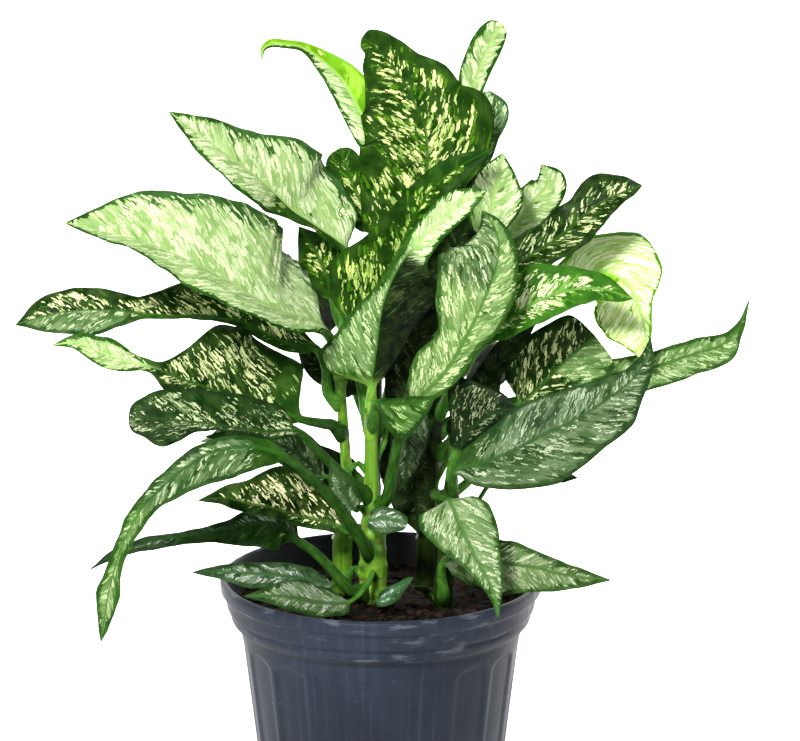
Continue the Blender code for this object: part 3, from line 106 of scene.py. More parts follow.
UP = (0.0, -0.6, 0.8)
LEAVES = [
    leaf("back", "top", (0, 1), [(-0.6, 6.4, 47.5), (0.4, 7.6, 53)], [(1, 8, 57.1),
         (-0.7, 8.4, 60), (-1.9, 8.8, 62.4), (-3, 9, 64.4), (-4.6, 9, 66), (-6.7, 8.8, 67.4),
         (-8, 8.5, 67.6), (-9, 8.2, 67.7), (-9.7, 8, 67.3), (-9.9, 7.8, 66.4)], [(0.1, 1.2),
         (0.33, 1.5), (0.46, 1.5), (0.6, 1), (0.76, 0.35), (0.9, 0.3)], [(0.1, 1.4), (0.33, 1.9),
         (0.46, 1.6), (0.6, 1), (0.76, 0.4), (0.9, 0.35)], [(-0.3, -0.9, 0.3)], 24,
         (0.1, 1.5, 0.1), seen=True),
    leaf("back", 42.0, (1, -0.2), [(1.5, 4.7, 44.5), (2.3, 4.4, 47.5)], [(2.6, 4, 50.5),
         (3.5, 4, 54.7), (3.9, 3.8, 58.3), (3.6, 3.5, 61.4), (2.9, 3.2, 63), (2.3, 3, 64.4),
         (1.3, 2.6, 65.9), (0.3, 2.2, 67.1), (-0.6, 1.8, 68.1), (-1.5, 1.4, 68.6)], [(0.06, 4.2),
         (0.21, 5.2), (0.39, 5.6), (0.54, 5.4), (0.63, 4.7), (0.71, 4.3), (0.8, 3.3), (0.88, 2.2),
         (0.95, 1.1)], [(0.06, 3), (0.21, 4.2), (0.39, 4.8), (0.54, 5.7), (0.63, 4.2), (0.71, 3.6),
         (0.8, 2.2), (0.88, 1.8), (0.95, 1.2)], [(-0.1, -1, 0.15), (0, -1, 0.15)], 12,
         (0.25, 2.5, 0.2), droop=0.12, seen=True, blunt=True),
    leaf("right", "top", (0, 1), [(5.3, 5.6, 50), (5.7, 6.8, 55)], [(6.5, 7, 59.7), (7.6, 7, 63.5),
         (8.3, 7, 65.7), (9, 6.7, 67.5), (9.6, 6.3, 68.7), (10.2, 6, 69.4)], [(0.15, 0.9),
         (0.35, 1.1), (0.57, 1.5), (0.77, 1.5), (0.91, 1.2)], [(0.15, 0.8), (0.35, 0.8),
         (0.57, 0.95), (0.77, 1.1), (0.91, 1)], [(0, -1, 0.1)], 12, (0.12, 1.5, 0.4), droop=0.0,
         seen=True, blunt=True),
    leaf("left", 40.5, (0.3, 1), [(-3.1, 2.8, 43), (-2.9, 3.7, 47)], [(-2.9, 3.2, 51),
         (-5.1, 2.4, 53), (-7.2, 1.2, 54.6), (-9, 0, 56.6), (-11.3, -1.4, 58.7), (-14, -2.4, 60.9),
         (-16.8, -3, 63.1)], [(0.06, 0.6), (0.2, 0.5), (0.3, 0.6), (0.44, 1.5), (0.6, 1.9),
         (0.8, 1.2)], [(0.06, 3), (0.15, 4.2), (0.29, 5.1), (0.44, 4.6), (0.6, 3.2), (0.8, 1.9)],
         [(0, -0.75, 0.65)], 22, (0.25, 2, 0.0), droop=0.12, seen=True),
    leaf("left", "top", (0, -1), [(-3.8, 0, 43.7)], [(-4.6, -1, 45.1), (-8.4, -5, 47.5),
         (-14, -8, 51.4), (-18, -9, 53.4), (-24.3, -10, 55.2)], [(0.1, 0.9), (0.3, 1.4),
         (0.55, 1.6), (0.68, 1.4), (0.8, 1)], [(0.05, 3.3), (0.14, 5.2), (0.3, 6.1), (0.42, 6.4),
         (0.55, 5.7), (0.68, 4.6), (0.8, 3.9), (0.9, 2)], [UP], 26, (0.3, 2.5, 0.3), seen=True),
    leaf("left", 38.6, (-1, 0.1), [(-4.5, 1.2, 41.4)], [(-5.2, 1, 43), (-7.5, 0.6, 43.5),
         (-9.5, 0, 44.6), (-11.3, -0.4, 45.6), (-14, -1, 46.2), (-17.5, -1.6, 46.4),
         (-20.6, -2, 46.8), (-23.5, -2.4, 47), (-26.3, -2.8, 46.8), (-29.5, -3, 45.9)],
         [(0.06, 0.6), (0.2, 0.6), (0.3, 0.35), (0.55, 0.3), (0.66, 1.1), (0.76, 2.1),
         (0.86, 1.8)], [(0.06, 1.4), (0.2, 2.6), (0.42, 3), (0.5, 2.5), (0.62, 1.3), (0.78, 1.8),
         (0.88, 1.7)], [(0, -0.75, 0.65)], 15, (0.15, 2.5, 0.1), seen=True),
    leaf("left", 36.0, (-0.7, -0.7), [(-4.8, -1, 37.2)], [(-6.4, -3, 38), (-9.6, -3.8, 39.4),
         (-11.8, -4.5, 40.1), (-14.1, -5.2, 41.2), (-16.5, -5.8, 42.2), (-18.6, -6.3, 43.2),
         (-20.3, -6.6, 43.6), (-22.3, -6.8, 44.4), (-24.2, -7, 45.2), (-26, -7, 45)], [(0.1, 0.8),
         (0.35, 1), (0.47, 1.5), (0.55, 1.2), (0.62, 0.4), (0.8, 1), (0.91, 0.5)], [(0.05, 4.1),
         (0.16, 4.4), (0.28, 5.5), (0.4, 5.3), (0.52, 2.3), (0.62, 0.4), (0.8, 1.3), (0.91, 0.7)],
         [(0, -0.7, 0.7), (0, -0.85, 0.5)], 20, (0.1, 2, 0.5), seen=True),
    leaf("main", 31.0, (-0.7, -0.7), [(-2.4, -2.3, 32.5), (-4.9, -3.9, 35.4)], [(-6.7, -6, 37.7),
         (-9.2, -7.5, 38), (-11.2, -8.4, 38.5), (-13.1, -9.2, 39), (-15, -9.8, 39.4),
         (-16.9, -10, 39.6), (-18.4, -10.2, 39.8), (-19.8, -10.3, 39.8)], [(0.06, 0.5),
         (0.45, 0.4), (0.62, 0.6), (0.72, 1.5), (0.8, 1.9), (0.9, 1.5)], [(0.06, 2.1), (0.2, 2.5),
         (0.63, 2.6), (0.78, 2.4), (0.9, 1.7)], [UP], 22, (0.1, 2, 0.2), seen=True, blunt=True),
    leaf("main", 26.2, (-0.4, -1), [(-2.2, -2.5, 28.6), (-3.6, -4.2, 31.2), (-5.5, -6.7, 34)],
         [(-7.4, -9, 36.2), (-9.1, -10, 37.2), (-11, -10.8, 37.6), (-13.2, -11.4, 37.3),
         (-15, -12, 36.4), (-16.8, -12.4, 35), (-18.5, -12.7, 33.3), (-20.2, -12.8, 30.2),
         (-21.3, -12.8, 26.6), (-22.1, -12.6, 22.3)], [(0.06, 0.9), (0.16, 1.8), (0.25, 2.3),
         (0.34, 2), (0.5, 1.1), (0.62, 0.8), (0.72, 0.5), (0.85, 0.9), (0.94, 0.5)], [(0.06, 0.7),
         (0.25, 0.9), (0.44, 0.8), (0.62, 0.7), (0.72, 0.5), (0.85, 0.9), (0.94, 0.5)],
         [(0, -0.75, 0.65), (-0.4, -0.7, 0.6), (-0.6, -0.8, 0.1)], 12, (0.1, 2, 0.3), seen=True),
    leaf("main", 27.5, (-1, -0.1), [(-2.6, -0.7, 27.9)], [(-3.3, -1, 28.3), (-5.1, -2, 29.2),
         (-6.9, -2.8, 29.8), (-8.7, -3.5, 30.6), (-10.7, -4.2, 31.2), (-12.4, -4.7, 31.8),
         (-14.8, -5.3, 31.8)], [(0.1, 0.6), (0.5, 0.7), (0.8, 0.6)], [(0.08, 2.8), (0.3, 4.1),
         (0.47, 3.6), (0.65, 2.3), (0.8, 1.1)], [(0, -0.75, 0.65)], 18, (0.12, 2, 0.3), seen=True),
    leaf("main", 22.5, (-0.6, -0.8), [(-2.4, -1.8, 23), (-3.2, -2.1, 23.9), (-4.3, -2, 25.2),
         (-5.6, -1.9, 26.5)], [(-6.9, -2, 27.5), (-8, -2.4, 28.8), (-9.5, -2.8, 29.2),
         (-12.3, -3.4, 29), (-15.6, -4.2, 28.6), (-18.9, -4.8, 28.2), (-21.3, -5.2, 27.5),
         (-23.7, -5.5, 26.1)], [(0.04, 1.2), (0.1, 1.8), (0.18, 2), (0.33, 1.4), (0.52, 0.7),
         (0.7, 0.6), (0.85, 0.4)], [(0.06, 0.8), (0.18, 1.2), (0.26, 1.1), (0.36, 0.5),
         (0.6, 0.35), (0.85, 0.35)], [(0, -0.75, 0.65)], 12, (0.1, 2.5, 0.0), seen=True),
    leaf("main", 23.9, (-1, 0.25), [(-2.9, 0, 23.7)], [(-3.9, -1.2, 23.5), (-5.9, -2.7, 24.3),
         (-8.3, -3.8, 25), (-10.7, -4.5, 25.4), (-13.2, -4.9, 25.7), (-15.4, -5.2, 25.7)],
         [(0.12, 0.6), (0.4, 0.9), (0.6, 1.1), (0.8, 0.6)], [(0.12, 0.6), (0.35, 1), (0.6, 0.9),
         (0.8, 0.5)], [(0, -0.75, 0.65)], 12, (0.1, 1.5, 0.5), seen=True),
    leaf("main", 24.1, (0, -1), [(-1.1, -2.6, 23.9)], [(-2.6, -4.4, 22.9), (-4.6, -6, 23.3),
         (-6.6, -7.4, 24.1), (-8.5, -8.8, 24.8), (-10.9, -9.8, 25.1)], [(0.12, 0.8), (0.4, 1),
         (0.7, 0.8)], [(0.12, 0.9), (0.4, 1.4), (0.7, 0.9)], [(0, -0.7, 0.7)], 8, (0.08, 1.5, 0.0),
         seen=True),
    leaf("main", 36.5, (-0.3, 1), [(-1.4, 1.4, 39), (-2.1, 1.6, 42)], [(-2.4, 1.3, 45),
         (-0.5, 1, 48), (1.3, 0.5, 50.9), (2.6, 0, 53.8), (4, -0.6, 56.4), (6, -1, 58.2),
         (9.1, -1.6, 60)], [(0.05, 2.4), (0.18, 4.2), (0.35, 3.1), (0.52, 2.1), (0.67, 1.4),
         (0.82, 1)], [(0.05, 1.6), (0.18, 2.4), (0.35, 1.6), (0.52, 1.3), (0.67, 1.1), (0.82, 1.2),
         (0.92, 0.6)], [(-0.1, -0.95, 0.3), (-0.2, -0.9, 0.4)], 14, (0.15, 2.5, 0.2), droop=0.12,
         seen=True),
    leaf("main", "top", (0, -1), [(-0.75, -0.95, 39.4)], [(-0.7, -1.4, 40.3), (-0.3, -2.2, 43.6),
         (0.3, -3, 47.7), (1.8, -3.5, 51.1), (4, -3.8, 53.6), (6.2, -3.8, 55.5),
         (8.5, -3.6, 56.9)], [(0.05, 3.9), (0.12, 4.6), (0.2, 3.6), (0.3, 2.3), (0.42, 1),
         (0.54, 0.6), (0.7, 1.1), (0.86, 1.5), (0.94, 0.9)], [(0.08, 1.2), (0.2, 2.4), (0.36, 3.8),
         (0.45, 4), (0.54, 3.2), (0.63, 1.5), (0.75, 1.1), (0.86, 1), (0.94, 0.6)],
         [(-0.05, -0.95, 0.3), (-0.2, -0.95, 0.3)], 0, (0.08, 2, 0.1),
         fold_left=[(0.12, 12), (0.35, -14), (0.6, 8)], fold_right=[(0.45, -38), (0.7, 4)],
         seen=True),
    leaf("main", 30.0, (0.8, -0.6), [(0.9, -2, 33.1), (1.4, -3, 35.9)], [(2.5, -4, 39.4),
         (3.8, -4.6, 40.8), (5.3, -5, 42.5), (6.6, -5.4, 44.8), (7.7, -5.6, 47.1),
         (8.6, -5.6, 49.2), (9.3, -5.5, 51.4), (9.4, -5.3, 53.1), (8.9, -5.1, 54.4),
         (8.1, -4.8, 55.4)], [(0.05, 1.4), (0.22, 2.7), (0.36, 2.2), (0.5, 3.5), (0.62, 4.2),
         (0.75, 4.9), (0.85, 3.5), (0.93, 1.5)], [(0.08, 0.8), (0.22, 1.2), (0.36, 1.3),
         (0.5, 2.1), (0.62, 2.2), (0.75, 1.7), (0.85, 1.1), (0.93, 0.6)], [(0, -1, 0.2)], 8,
         (0.1, 2, 0.3), droop=0.12, fold_left=[(0.6, 8), (0.76, -30)], seen=True),
    leaf("right", 43.6, (0.9, -0.5), [(7, 2.8, 45.8), (8, 2, 49)], [(8.5, 1.7, 52.3),
         (9.4, 1.5, 56), (10, 1.4, 59.3)], [(0.2, 1.6), (0.5, 2.2), (0.75, 1.6)], [(0.2, 1.8),
         (0.5, 2.4), (0.75, 1.5)], [(0, -1, 0.1)], 15, (0.15, 1.5, 0.2)),
    leaf("right", 42.0, (1, 0.6), [(7, 5.1, 44.3), (8.8, 5.6, 47.5)], [(9.8, 5.6, 50.3),
         (12.2, 5.5, 54.1), (14, 5, 56.6), (13.4, 4.5, 58)], [(0.2, 1.4), (0.5, 1.5), (0.8, 1.3)],
         [(0.2, 1.6), (0.5, 2), (0.8, 1.6)], [(0, -1, 0.1)], 12, (0.15, 1.5, 0.5)),
    leaf("right", 40.4, (0.8, -0.7), [(6.8, 2.4, 42.8), (8.6, 2, 46)], [(10, 1.9, 48.8),
         (14.7, 1, 52.4), (18.2, 0.5, 55.4), (21.3, 0, 56.8)], [(0.2, 2.1), (0.45, 2), (0.6, 1.8),
         (0.76, 2.6), (0.9, 1.5)], [(0.2, 2.1), (0.45, 2.2), (0.65, 2.1), (0.8, 1.7), (0.92, 0.9)],
         [(0, -0.7, 0.7)], 16, (0.2, 2, 0.2)),
    leaf("right", 38.6, (0.9, 0.5), [(7.5, 5.2, 41.5), (10.8, 5.6, 44.6)], [(13.9, 5, 46.5),
         (16.3, 4.4, 48.1), (18.6, 3.6, 49.1), (20.4, 2.6, 48.3), (21.4, 1.6, 46.4),
         (21.9, 0.6, 44.3), (21.9, -0.4, 42.2)], [(0.08, 1.4), (0.2, 2.1), (0.37, 3.3),
         (0.45, 4.1), (0.54, 3.4), (0.68, 1.2), (0.84, 0.5)], [(0.15, 1.8), (0.37, 2.4),
         (0.52, 3.2), (0.68, 3.7), (0.84, 3.2), (0.93, 1.6)], [(0, -0.9, 0.5), (0.1, -0.95, 0.3)],
         6, (0.1, 2, 0.0), seen=True),
    leaf("right", 37.2, (0.5, -0.9), [(6, 1.2, 39.8), (7, -0.4, 41.8)], [(8.1, -1.8, 44.1),
         (10.1, -2.2, 45.9), (12.5, -2.8, 47.6), (14.9, -3.2, 48.6), (17.5, -3.5, 48.9),
         (20.3, -3.8, 48.1)], [(0.08, 2.2), (0.19, 3.3), (0.4, 3.2), (0.59, 2.2), (0.78, 1.3)],
         [(0.1, 0.8), (0.2, 1.3), (0.5, 1.6), (0.78, 1), (0.92, 0.6)], [(0, -0.75, 0.65)], 15,
         (0.12, 2, 0.4), seen=True),
    leaf("right", 35.4, (1, 0.3), [(7.5, 4.5, 36.8), (12, 4.4, 38)], [(17, 3.5, 39.8),
         (22.7, 3, 41), (26.2, 2, 42.4), (28.4, 1.4, 43.3), (29.6, 1, 44.7), (30.4, 0.6, 47.2)],
         [(0.15, 1.4), (0.4, 1.4), (0.6, 1.2), (0.72, 0.9), (0.82, 0.4)], [(0.15, 1.8), (0.4, 2.2),
         (0.6, 2), (0.74, 1.6), (0.85, 0.4)], [(0, -0.75, 0.65), (-0.3, -0.8, 0.5)], 15,
         (0.2, 1.5, 0.2)),
    leaf("front", 29.3, (0.8, -0.8), [(6.1, -4.9, 31.3), (5.8, -6.2, 33.2)], [(5.9, -7, 34.5),
         (8.2, -7.8, 35.5), (10.4, -8.4, 36.6), (12.8, -9, 38.1), (14.7, -9.4, 39.1),
         (16.6, -9.8, 40.3), (18.3, -10, 41.6), (19.8, -10.1, 42.9), (20.7, -10.1, 44.4),
         (21.1, -10, 46.1)], [(0.05, 1.2), (0.13, 2), (0.39, 2.8), (0.61, 2.2), (0.72, 1.5),
         (0.85, 0.8)], [(0.05, 1), (0.13, 1.9), (0.25, 3), (0.39, 3.8), (0.5, 3.5), (0.61, 3),
         (0.72, 2.7), (0.82, 1.4), (0.91, 0.7)], [(0.1, -0.8, 0.6), (0, -0.9, 0.4)], 10,
         (0.2, 3, 0.2), droop=0.12, seen=True),
    leaf("right", 33.6, (1, -0.5), [(7.2, 2.7, 35.2), (9.8, 2.2, 36.7)], [(11.7, 2, 38.1),
         (13.6, 1.9, 40), (15.6, 1.7, 42.1), (17.8, 1.4, 44.1)], [(0.08, 2.6), (0.25, 3.6),
         (0.5, 3.6), (0.75, 3.2), (0.93, 2.7)], [(0.1, 1.6), (0.3, 2.4), (0.6, 2.9), (0.8, 3.3),
         (0.94, 3.1)], [(0, -0.98, 0.2)], 6, (0.2, 1.5, 0.1), seen=True, blunt=True),
    leaf("front", 27.0, (1, -0.2), [(7.3, -2.7, 29.4), (8.4, -3.3, 31.9)], [(9.4, -4.1, 33.4),
         (12.9, -5, 33.9), (15.9, -6, 33.8)], 1.2, 1.2, [UP], 12, (0.2, 1.5, 0.0)),
    leaf("front", "top", (1, 0), [(5.9, -3.7, 34.3)], [(6.2, -4, 35.5), (7.1, -4.3, 37.2),
         (8.4, -4.7, 38.5), (9.6, -5.1, 39.2), (11, -5.4, 39.5)], [(0.08, 0.8), (0.2, 1.2),
         (0.37, 2.7), (0.52, 4.1), (0.75, 2.1), (0.9, 0.9)], [(0.15, 0.9), (0.5, 0.9), (0.8, 0.6)],
         [(0, -0.95, 0.3)], 8, (0.1, 1.5, 0.3), seen=True),
    leaf("front", 31.3, (-1, -0.5), [(4.5, -4.8, 32)], [(5.4, -6.4, 32.1), (6.2, -7.8, 30.8),
         (6.9, -9, 29.4), (7.7, -10, 28), (8.6, -10.8, 26.5), (9.1, -11.2, 25.2),
         (9.3, -11.3, 23.7)], [(0.05, 1.8), (0.17, 2.8), (0.35, 2.7), (0.53, 2.1), (0.72, 1.2),
         (0.87, 0.4)], [(0.04, 2.5), (0.17, 3), (0.35, 2.3), (0.53, 1.3), (0.72, 0.7),
         (0.87, 0.3)], [(0, -0.6, 0.8), (0, -1, 0.2)], 10, (0.12, 1.5, 0.2), droop=0.12,
         seen=True),
    leaf("front", 23.0, (0, -1), [(5, -3.6, 24.5)], [(5.1, -4.2, 26.1), (7.7, -5, 26.8),
         (10.1, -5.8, 26.6), (12.6, -6.4, 26.4), (15.1, -6.9, 25.9), (18.6, -7.3, 25.6)],
         [(0.1, 1.2), (0.2, 1.7), (0.4, 1.8), (0.6, 1.1), (0.78, 0.8)], [(0.1, 1.4), (0.2, 2),
         (0.4, 2.3), (0.6, 1.8), (0.78, 1)], [(0, -0.8, 0.6)], 12, (0.1, 1.5, 0.3), seen=True),
    leaf("main", 28.6, (0.1, -1), [(-0.9, -1.8, 29.1)], [(-1, -2.5, 29.3), (0.3, -2.9, 29.6),
         (2.2, -3.1, 29.2)], [(0.1, 0.7), (0.45, 0.9), (0.8, 0.7)], [(0.1, 0.7), (0.45, 1.2),
         (0.8, 0.8)], [(0, -0.8, 0.6)], 8, (0.05, 1, 0.0), seen=True, blunt=True),
    leaf("main", 22.3, (0.5, -0.9), [(-0.2, -2.6, 22.6)], [(-0.3, -3.8, 22.8), (1, -4.8, 23.7),
         (2.6, -5.4, 25.3)], 0.8, 0.8, [(-0.3, -0.7, 0.7)], 10, (0.05, 1, 0.0)),
    leaf("front", 22.5, (-1, -0.1), [(3.9, -2.9, 23)], [(3.7, -3.8, 23.5), (3.3, -5, 24.2),
         (3, -6.2, 24.8)], 1.0, 1.0, [(-0.1, -0.5, 0.9)], 10, (0.1, 1, 0.5)),
    leaf("main", 34.2, (0.8, 0.6), [(0.6, 0.9, 36.6), (1.4, 1.5, 38.3)], [(2.2, 1.8, 38.2),
         (2.3, 1.6, 34.8), (2, 1.4, 31.2)], 1.7, 1.7, [(0, -0.95, 0.3)], 12, (0.15, 1, 0.2)),
    leaf("back", 43.0, (-0.9, 0.3), [(-2, 5.6, 46), (-1.2, 5.8, 49.4)], [(-0.6, 5.6, 52),
         (-2.2, 5.6, 56), (-3.4, 5.8, 59.2)], [(0.2, 1.6), (0.5, 2.4), (0.8, 1.8)], [(0.2, 1.6),
         (0.5, 1.8), (0.8, 1.4)], [(0, -1, 0.1)], 12, (0.15, 1, 0.2), blunt=True),
    leaf("back", 41.0, (-1, 0.1), [(-2.8, 5.1, 43.4), (-3.6, 5, 45)], [(-4, 4.9, 46.6),
         (-5.1, 4.7, 50), (-6.8, 4.5, 52.8)], [(0.2, 1.4), (0.5, 1.9), (0.8, 1)], [(0.2, 1.6),
         (0.5, 2), (0.8, 1)], [(0, -0.95, 0.3)], 12, (0.15, 1, 0.2)),
    leaf("main", 33.2, (-1, -0.2), [(-2.8, -1, 33)], [(-4.5, -1.5, 32.8), (-6.6, -3, 35),
         (-8.6, -4.2, 36.3), (-11, -5.2, 37.1), (-14.1, -6, 37.3)], [(0.15, 1.2), (0.4, 1.3),
         (0.7, 0.8)], [(0.15, 1.6), (0.4, 1.8), (0.7, 1)], [(0, -0.8, 0.6)], 12, (0.1, 1.5, 0.2),
         seen=True),
    leaf("back", 36.0, (-0.6, 0.8), [(-2.8, 7.5, 40)], [(-4.6, 9.3, 42.6), (-8, 12.5, 45.2),
         (-10.5, 15, 44.8), (-12.8, 17.5, 41.5)], 3.6, 3.6, [(-0.2, 0.1, 1), (-0.6, 0.6, 0.5)], 15,
         (0.35, 2, 0.1)),
    leaf("back", 32.5, (0.2, 1), [(0.2, 7.5, 36)], [(0.8, 9.4, 38.6), (1.4, 14, 41), (2, 18, 40),
         (2.5, 21.5, 36)], 3.8, 3.8, [(0, 0, 1), (0, 0.8, 0.6)], 15, (0.35, 2, 0.3)),
    leaf("right", 32.0, (0.7, 0.7), [(6.6, 7, 35)], [(8.4, 9, 37.6), (12.3, 12.5, 40),
         (15, 15, 39), (17.5, 17.5, 35)], 3.6, 3.6, [(0, 0, 1), (0.6, 0.6, 0.5)], 15,
         (0.35, 2, 0.5)),
    leaf("left", 28.5, (-0.7, 0.7), [(-5.6, 4.8, 30.3)], [(-7.6, 6.8, 32.4), (-11.5, 10.5, 34),
         (-16, 14, 32)], 2.8, 2.8, [(0, 0, 1), (-0.5, 0.5, 0.7)], 15, (0.3, 2, 0.2)),
    leaf("right", 28.0, (0.8, 0.6), [(7.2, 6.6, 30)], [(9.2, 8.2, 31.3), (13.5, 11, 32.6),
         (17.5, 14, 31)], 2.6, 2.6, [(0, 0, 1), (0.5, 0.5, 0.7)], 15, (0.3, 2, 0.4)),
    leaf("back", 35.5, (0.8, -0.5), [(1.3, 3.7, 36.3)], [(2.2, 2.8, 37.2), (2.9, 2.7, 42),
         (3.6, 2.6, 46.5), (4.3, 2.5, 51)], [(0.08, 2.2), (0.25, 2.4), (0.42, 1.9), (0.6, 2.4),
         (0.8, 1.6)], [(0.1, 1.6), (0.22, 1.9), (0.42, 3), (0.6, 3.1), (0.8, 2)],
         [(0, -0.95, 0.3)], 12, (0.1, 1.5, 0.2), seen=True),
    leaf("right", 31.0, (0.5, -0.9), [(5.4, 2, 33)], [(5.9, 0.6, 35.4), (7.9, 0, 38.8),
         (9.6, -0.3, 41.6), (11, -0.4, 43.6), (12.7, -0.5, 45.4)], [(0.15, 1), (0.5, 1.3),
         (0.8, 1.2)], [(0.15, 1.2), (0.4, 1.5), (0.6, 0.6), (0.8, 0.7)], [(0, -0.95, 0.3)], 12,
         (0.1, 1.5, 0.4), seen=True),
    leaf("main", 29.6, (-0.8, -0.6), [(-1.9, -1.4, 29.9)], [(-2.2, -2.1, 30.2), (-2.7, -2.8, 31.4),
         (-3.3, -3.5, 33), (-4.1, -4.2, 35)], [(0.12, 1.1), (0.35, 1.2), (0.65, 0.9), (0.85, 0.4)],
         [(0.12, 0.9), (0.35, 0.8), (0.65, 0.5), (0.85, 0.2)], [(0, -0.98, 0.2)], 10,
         (0.05, 1, 0.2), seen=True),
    leaf("back", 40.0, (1, 0.3), [(3, 6.6, 46), (6.2, 6.7, 52.5)], [(8.2, 5.7, 57), (9, 5.5, 59.9),
         (9.2, 5.3, 62), (8.5, 5.1, 63.9)], [(0.2, 0.8), (0.6, 1.4), (0.85, 1)], [(0.2, 0.6),
         (0.45, 0.8), (0.75, 1.5), (0.92, 0.9)], [(0, -1, 0.1)], 6, (0.08, 1, 0.3), seen=True,
         blunt=True),
    leaf("main", 37.3, (0.2, -1), [(-0.5, -2.1, 38.8)], [(-0.3, -2.8, 39.3), (0.9, -4.1, 39.5),
         (2.5, -5.2, 39.9), (4.4, -5.9, 40.5)], [(0.15, 0.4), (0.5, 0.5), (0.8, 0.3)],
         [(0.12, 0.8), (0.3, 2.2), (0.45, 2.9), (0.7, 1.8), (0.88, 0.8)], [(0, -0.9, 0.5)], -10,
         (0.05, 1, 0.1), seen=True),
    leaf("right", 43.8, (-1, -0.3), [(4.6, 3.5, 46)], [(5.4, 3.2, 48.2), (6.4, 3, 51.5),
         (7.4, 2.8, 54.6), (8.2, 2.8, 57.6)], 1.9, 1.9, [(0, -0.98, 0.2)], 10, (0.1, 1, 0.4)),
    leaf("right", 36.2, (-0.9, -0.3), [(3.3, 3.3, 36.5)], [(2.4, 2.8, 35.7), (2.6, 2.7, 33),
         (2.9, 2.6, 30), (3.2, 2.4, 26.8)], [(0.1, 1.4), (0.35, 1.8), (0.7, 1.6)], [(0.1, 2),
         (0.35, 2.7), (0.7, 2)], [(0, -0.95, 0.3)], 8, (0.1, 1, 0.1)),
    leaf("back", 30.4, (-0.8, -0.6), [(-1.8, 4, 31.1)], [(-2.3, 3.7, 31.8), (-3.9, 3.5, 33.2),
         (-6, 3.4, 34.4)], [(0.15, 1.6), (0.5, 2.3), (0.8, 1.4)], [(0.15, 0.8), (0.5, 0.5),
         (0.8, 0.3)], [(0, -0.95, 0.3)], 6, (0.08, 1, 0.4)),
    leaf("back", 36.9, (-0.9, -0.4), [(-1.5, 4.3, 37.8)], [(-1.9, 4.2, 38.6), (-3.5, 4, 40),
         (-5.3, 3.7, 41.2), (-7, 3.3, 42.8)], [(0.15, 1.1), (0.5, 1.3), (0.8, 0.8)], [(0.15, 1.6),
         (0.5, 1.9), (0.8, 1)], [(0, -0.95, 0.3)], 8, (0.08, 1, 0.2), seen=True),
]
for number, row in enumerate(LEAVES, 1):
    row["name"] = f"leaf_{number:02d}"

SMALL_WIDTH = 2.0  # cm: a leaf narrower than this gets fewer columns and a thinner stalk
TIP_WIDTH = 0.1
STALK_RADII = (0.55, 0.36)  # cm, at the root and at the blade
SMALL_STALK_RADII = (0.27, 0.2)
ROOT_STRETCH = 1.7  # the root of a stalk is cut upright against its cane
WIDEST_AT = 0.42
BEND_STEPS = 8  # straight steps in which a half blade is bent from midrib to margin
FRONT = Vector((0.0, 0.979, -0.204))  # the way along which the reach of a seen leaf is measured
LEAST_SEEN = 0.36  # a half blade that shows narrower than this share isn't widened further


def cane_axis(name, height):
    """Centre and radius of a cane at a height in cm."""
    row = CANES[name]
    for low, high in zip(row, row[1:]):
        if height <= high[2]:
            break
    share = (height - low[2]) / (high[2] - low[2])
    mixed = [a + (b - a) * share for a, b in zip(low, high)]
    return Vector((mixed[0], mixed[1], height)), mixed[3]


def soil_surface(radius, angle):
    bumps = 0.16 * math.sin(5 * angle + radius) + 0.12 * math.sin(9 * angle - 1.7 * radius)
    return SOIL_EDGE + SOIL_MOUND * (1 - (radius / 12) ** 2) + bumps * (radius / 12)


def hermite(part, start, end, leave, reach):
    """The cubic from start to end whose slopes there are leave and reach."""
    square, cube = part**2, part**3
    return (start * (2 * cube - 3 * square + 1) + end * (3 * square - 2 * cube)
            + leave * (cube - 2 * square + part) + reach * (cube - square))


def smooth_path(points, substeps=12):
    """A dense curve through the points, and the place in it of each given point."""
    path, places = [points[0].copy()], [0]
    for i, (here, after) in enumerate(zip(points, points[1:])):
        before = points[i - 1] if i else here - (after - here)
        beyond = points[i + 2] if i + 2 < len(points) else after + (after - here)
        step = (after - here).length
        first, second = (here - before).length, (beyond - after).length
        leave = ((here - before) / first * step + (after - here) / step * first) / (first + step)
        reach = (after - here) / step * second + (beyond - after) / second * step
        reach /= step + second
        for k in range(1, substeps + 1):
            path.append(hermite(k / substeps, here, after, leave * step, reach * step))
        places.append(len(path) - 1)
    return path, places


def stations(path, shares):
    """Points and directions along a dense path at shares of its length."""
    lengths = [0.0]
    for a, b in zip(path, path[1:]):
        lengths.append(lengths[-1] + (b - a).length)
    found = []
    for share in shares:
        wanted = share * lengths[-1]
        i = 0
        while i < len(path) - 2 and lengths[i + 1] < wanted:
            i += 1
        part = (wanted - lengths[i]) / (lengths[i + 1] - lengths[i])
        along = (path[min(i + 2, len(path) - 1)] - path[max(i - 1, 0)]).normalized()
        found.append((path[i].lerp(path[i + 1], part), along))
    return found


def mixed_face(faces, share):
    """The direction the upper face looks at a share of the blade's length."""
    if len(faces) == 1:
        return Vector(faces[0])
    spot = share * (len(faces) - 1)
    i = min(int(spot), len(faces) - 2)
    return Vector(faces[i]).lerp(Vector(faces[i + 1]), spot - i)


def value_at(given, share):
    """A plain number, or the value at a share of the length from (share, value) pairs."""
    if not isinstance(given, list):
        return given
    if share <= given[0][0]:
        return given[0][1]
    for low, high in zip(given, given[1:]):
        if share <= high[0]:
            return hermite((share - low[0]) / (high[0] - low[0]), low[1], high[1], 0.0, 0.0)
    return given[-1][1]


def outline(share):
    """Half the width of a blade as a share of its widest, from foot to tip."""
    if share < WIDEST_AT:
        return math.sqrt(max(1 - (1 - share / WIDEST_AT) ** 2, 0.0)) ** 0.9
    late = (share - WIDEST_AT) / (1 - WIDEST_AT)
    return (1 - late**1.9) * (1 - 0.12 * math.sin(math.pi * late))


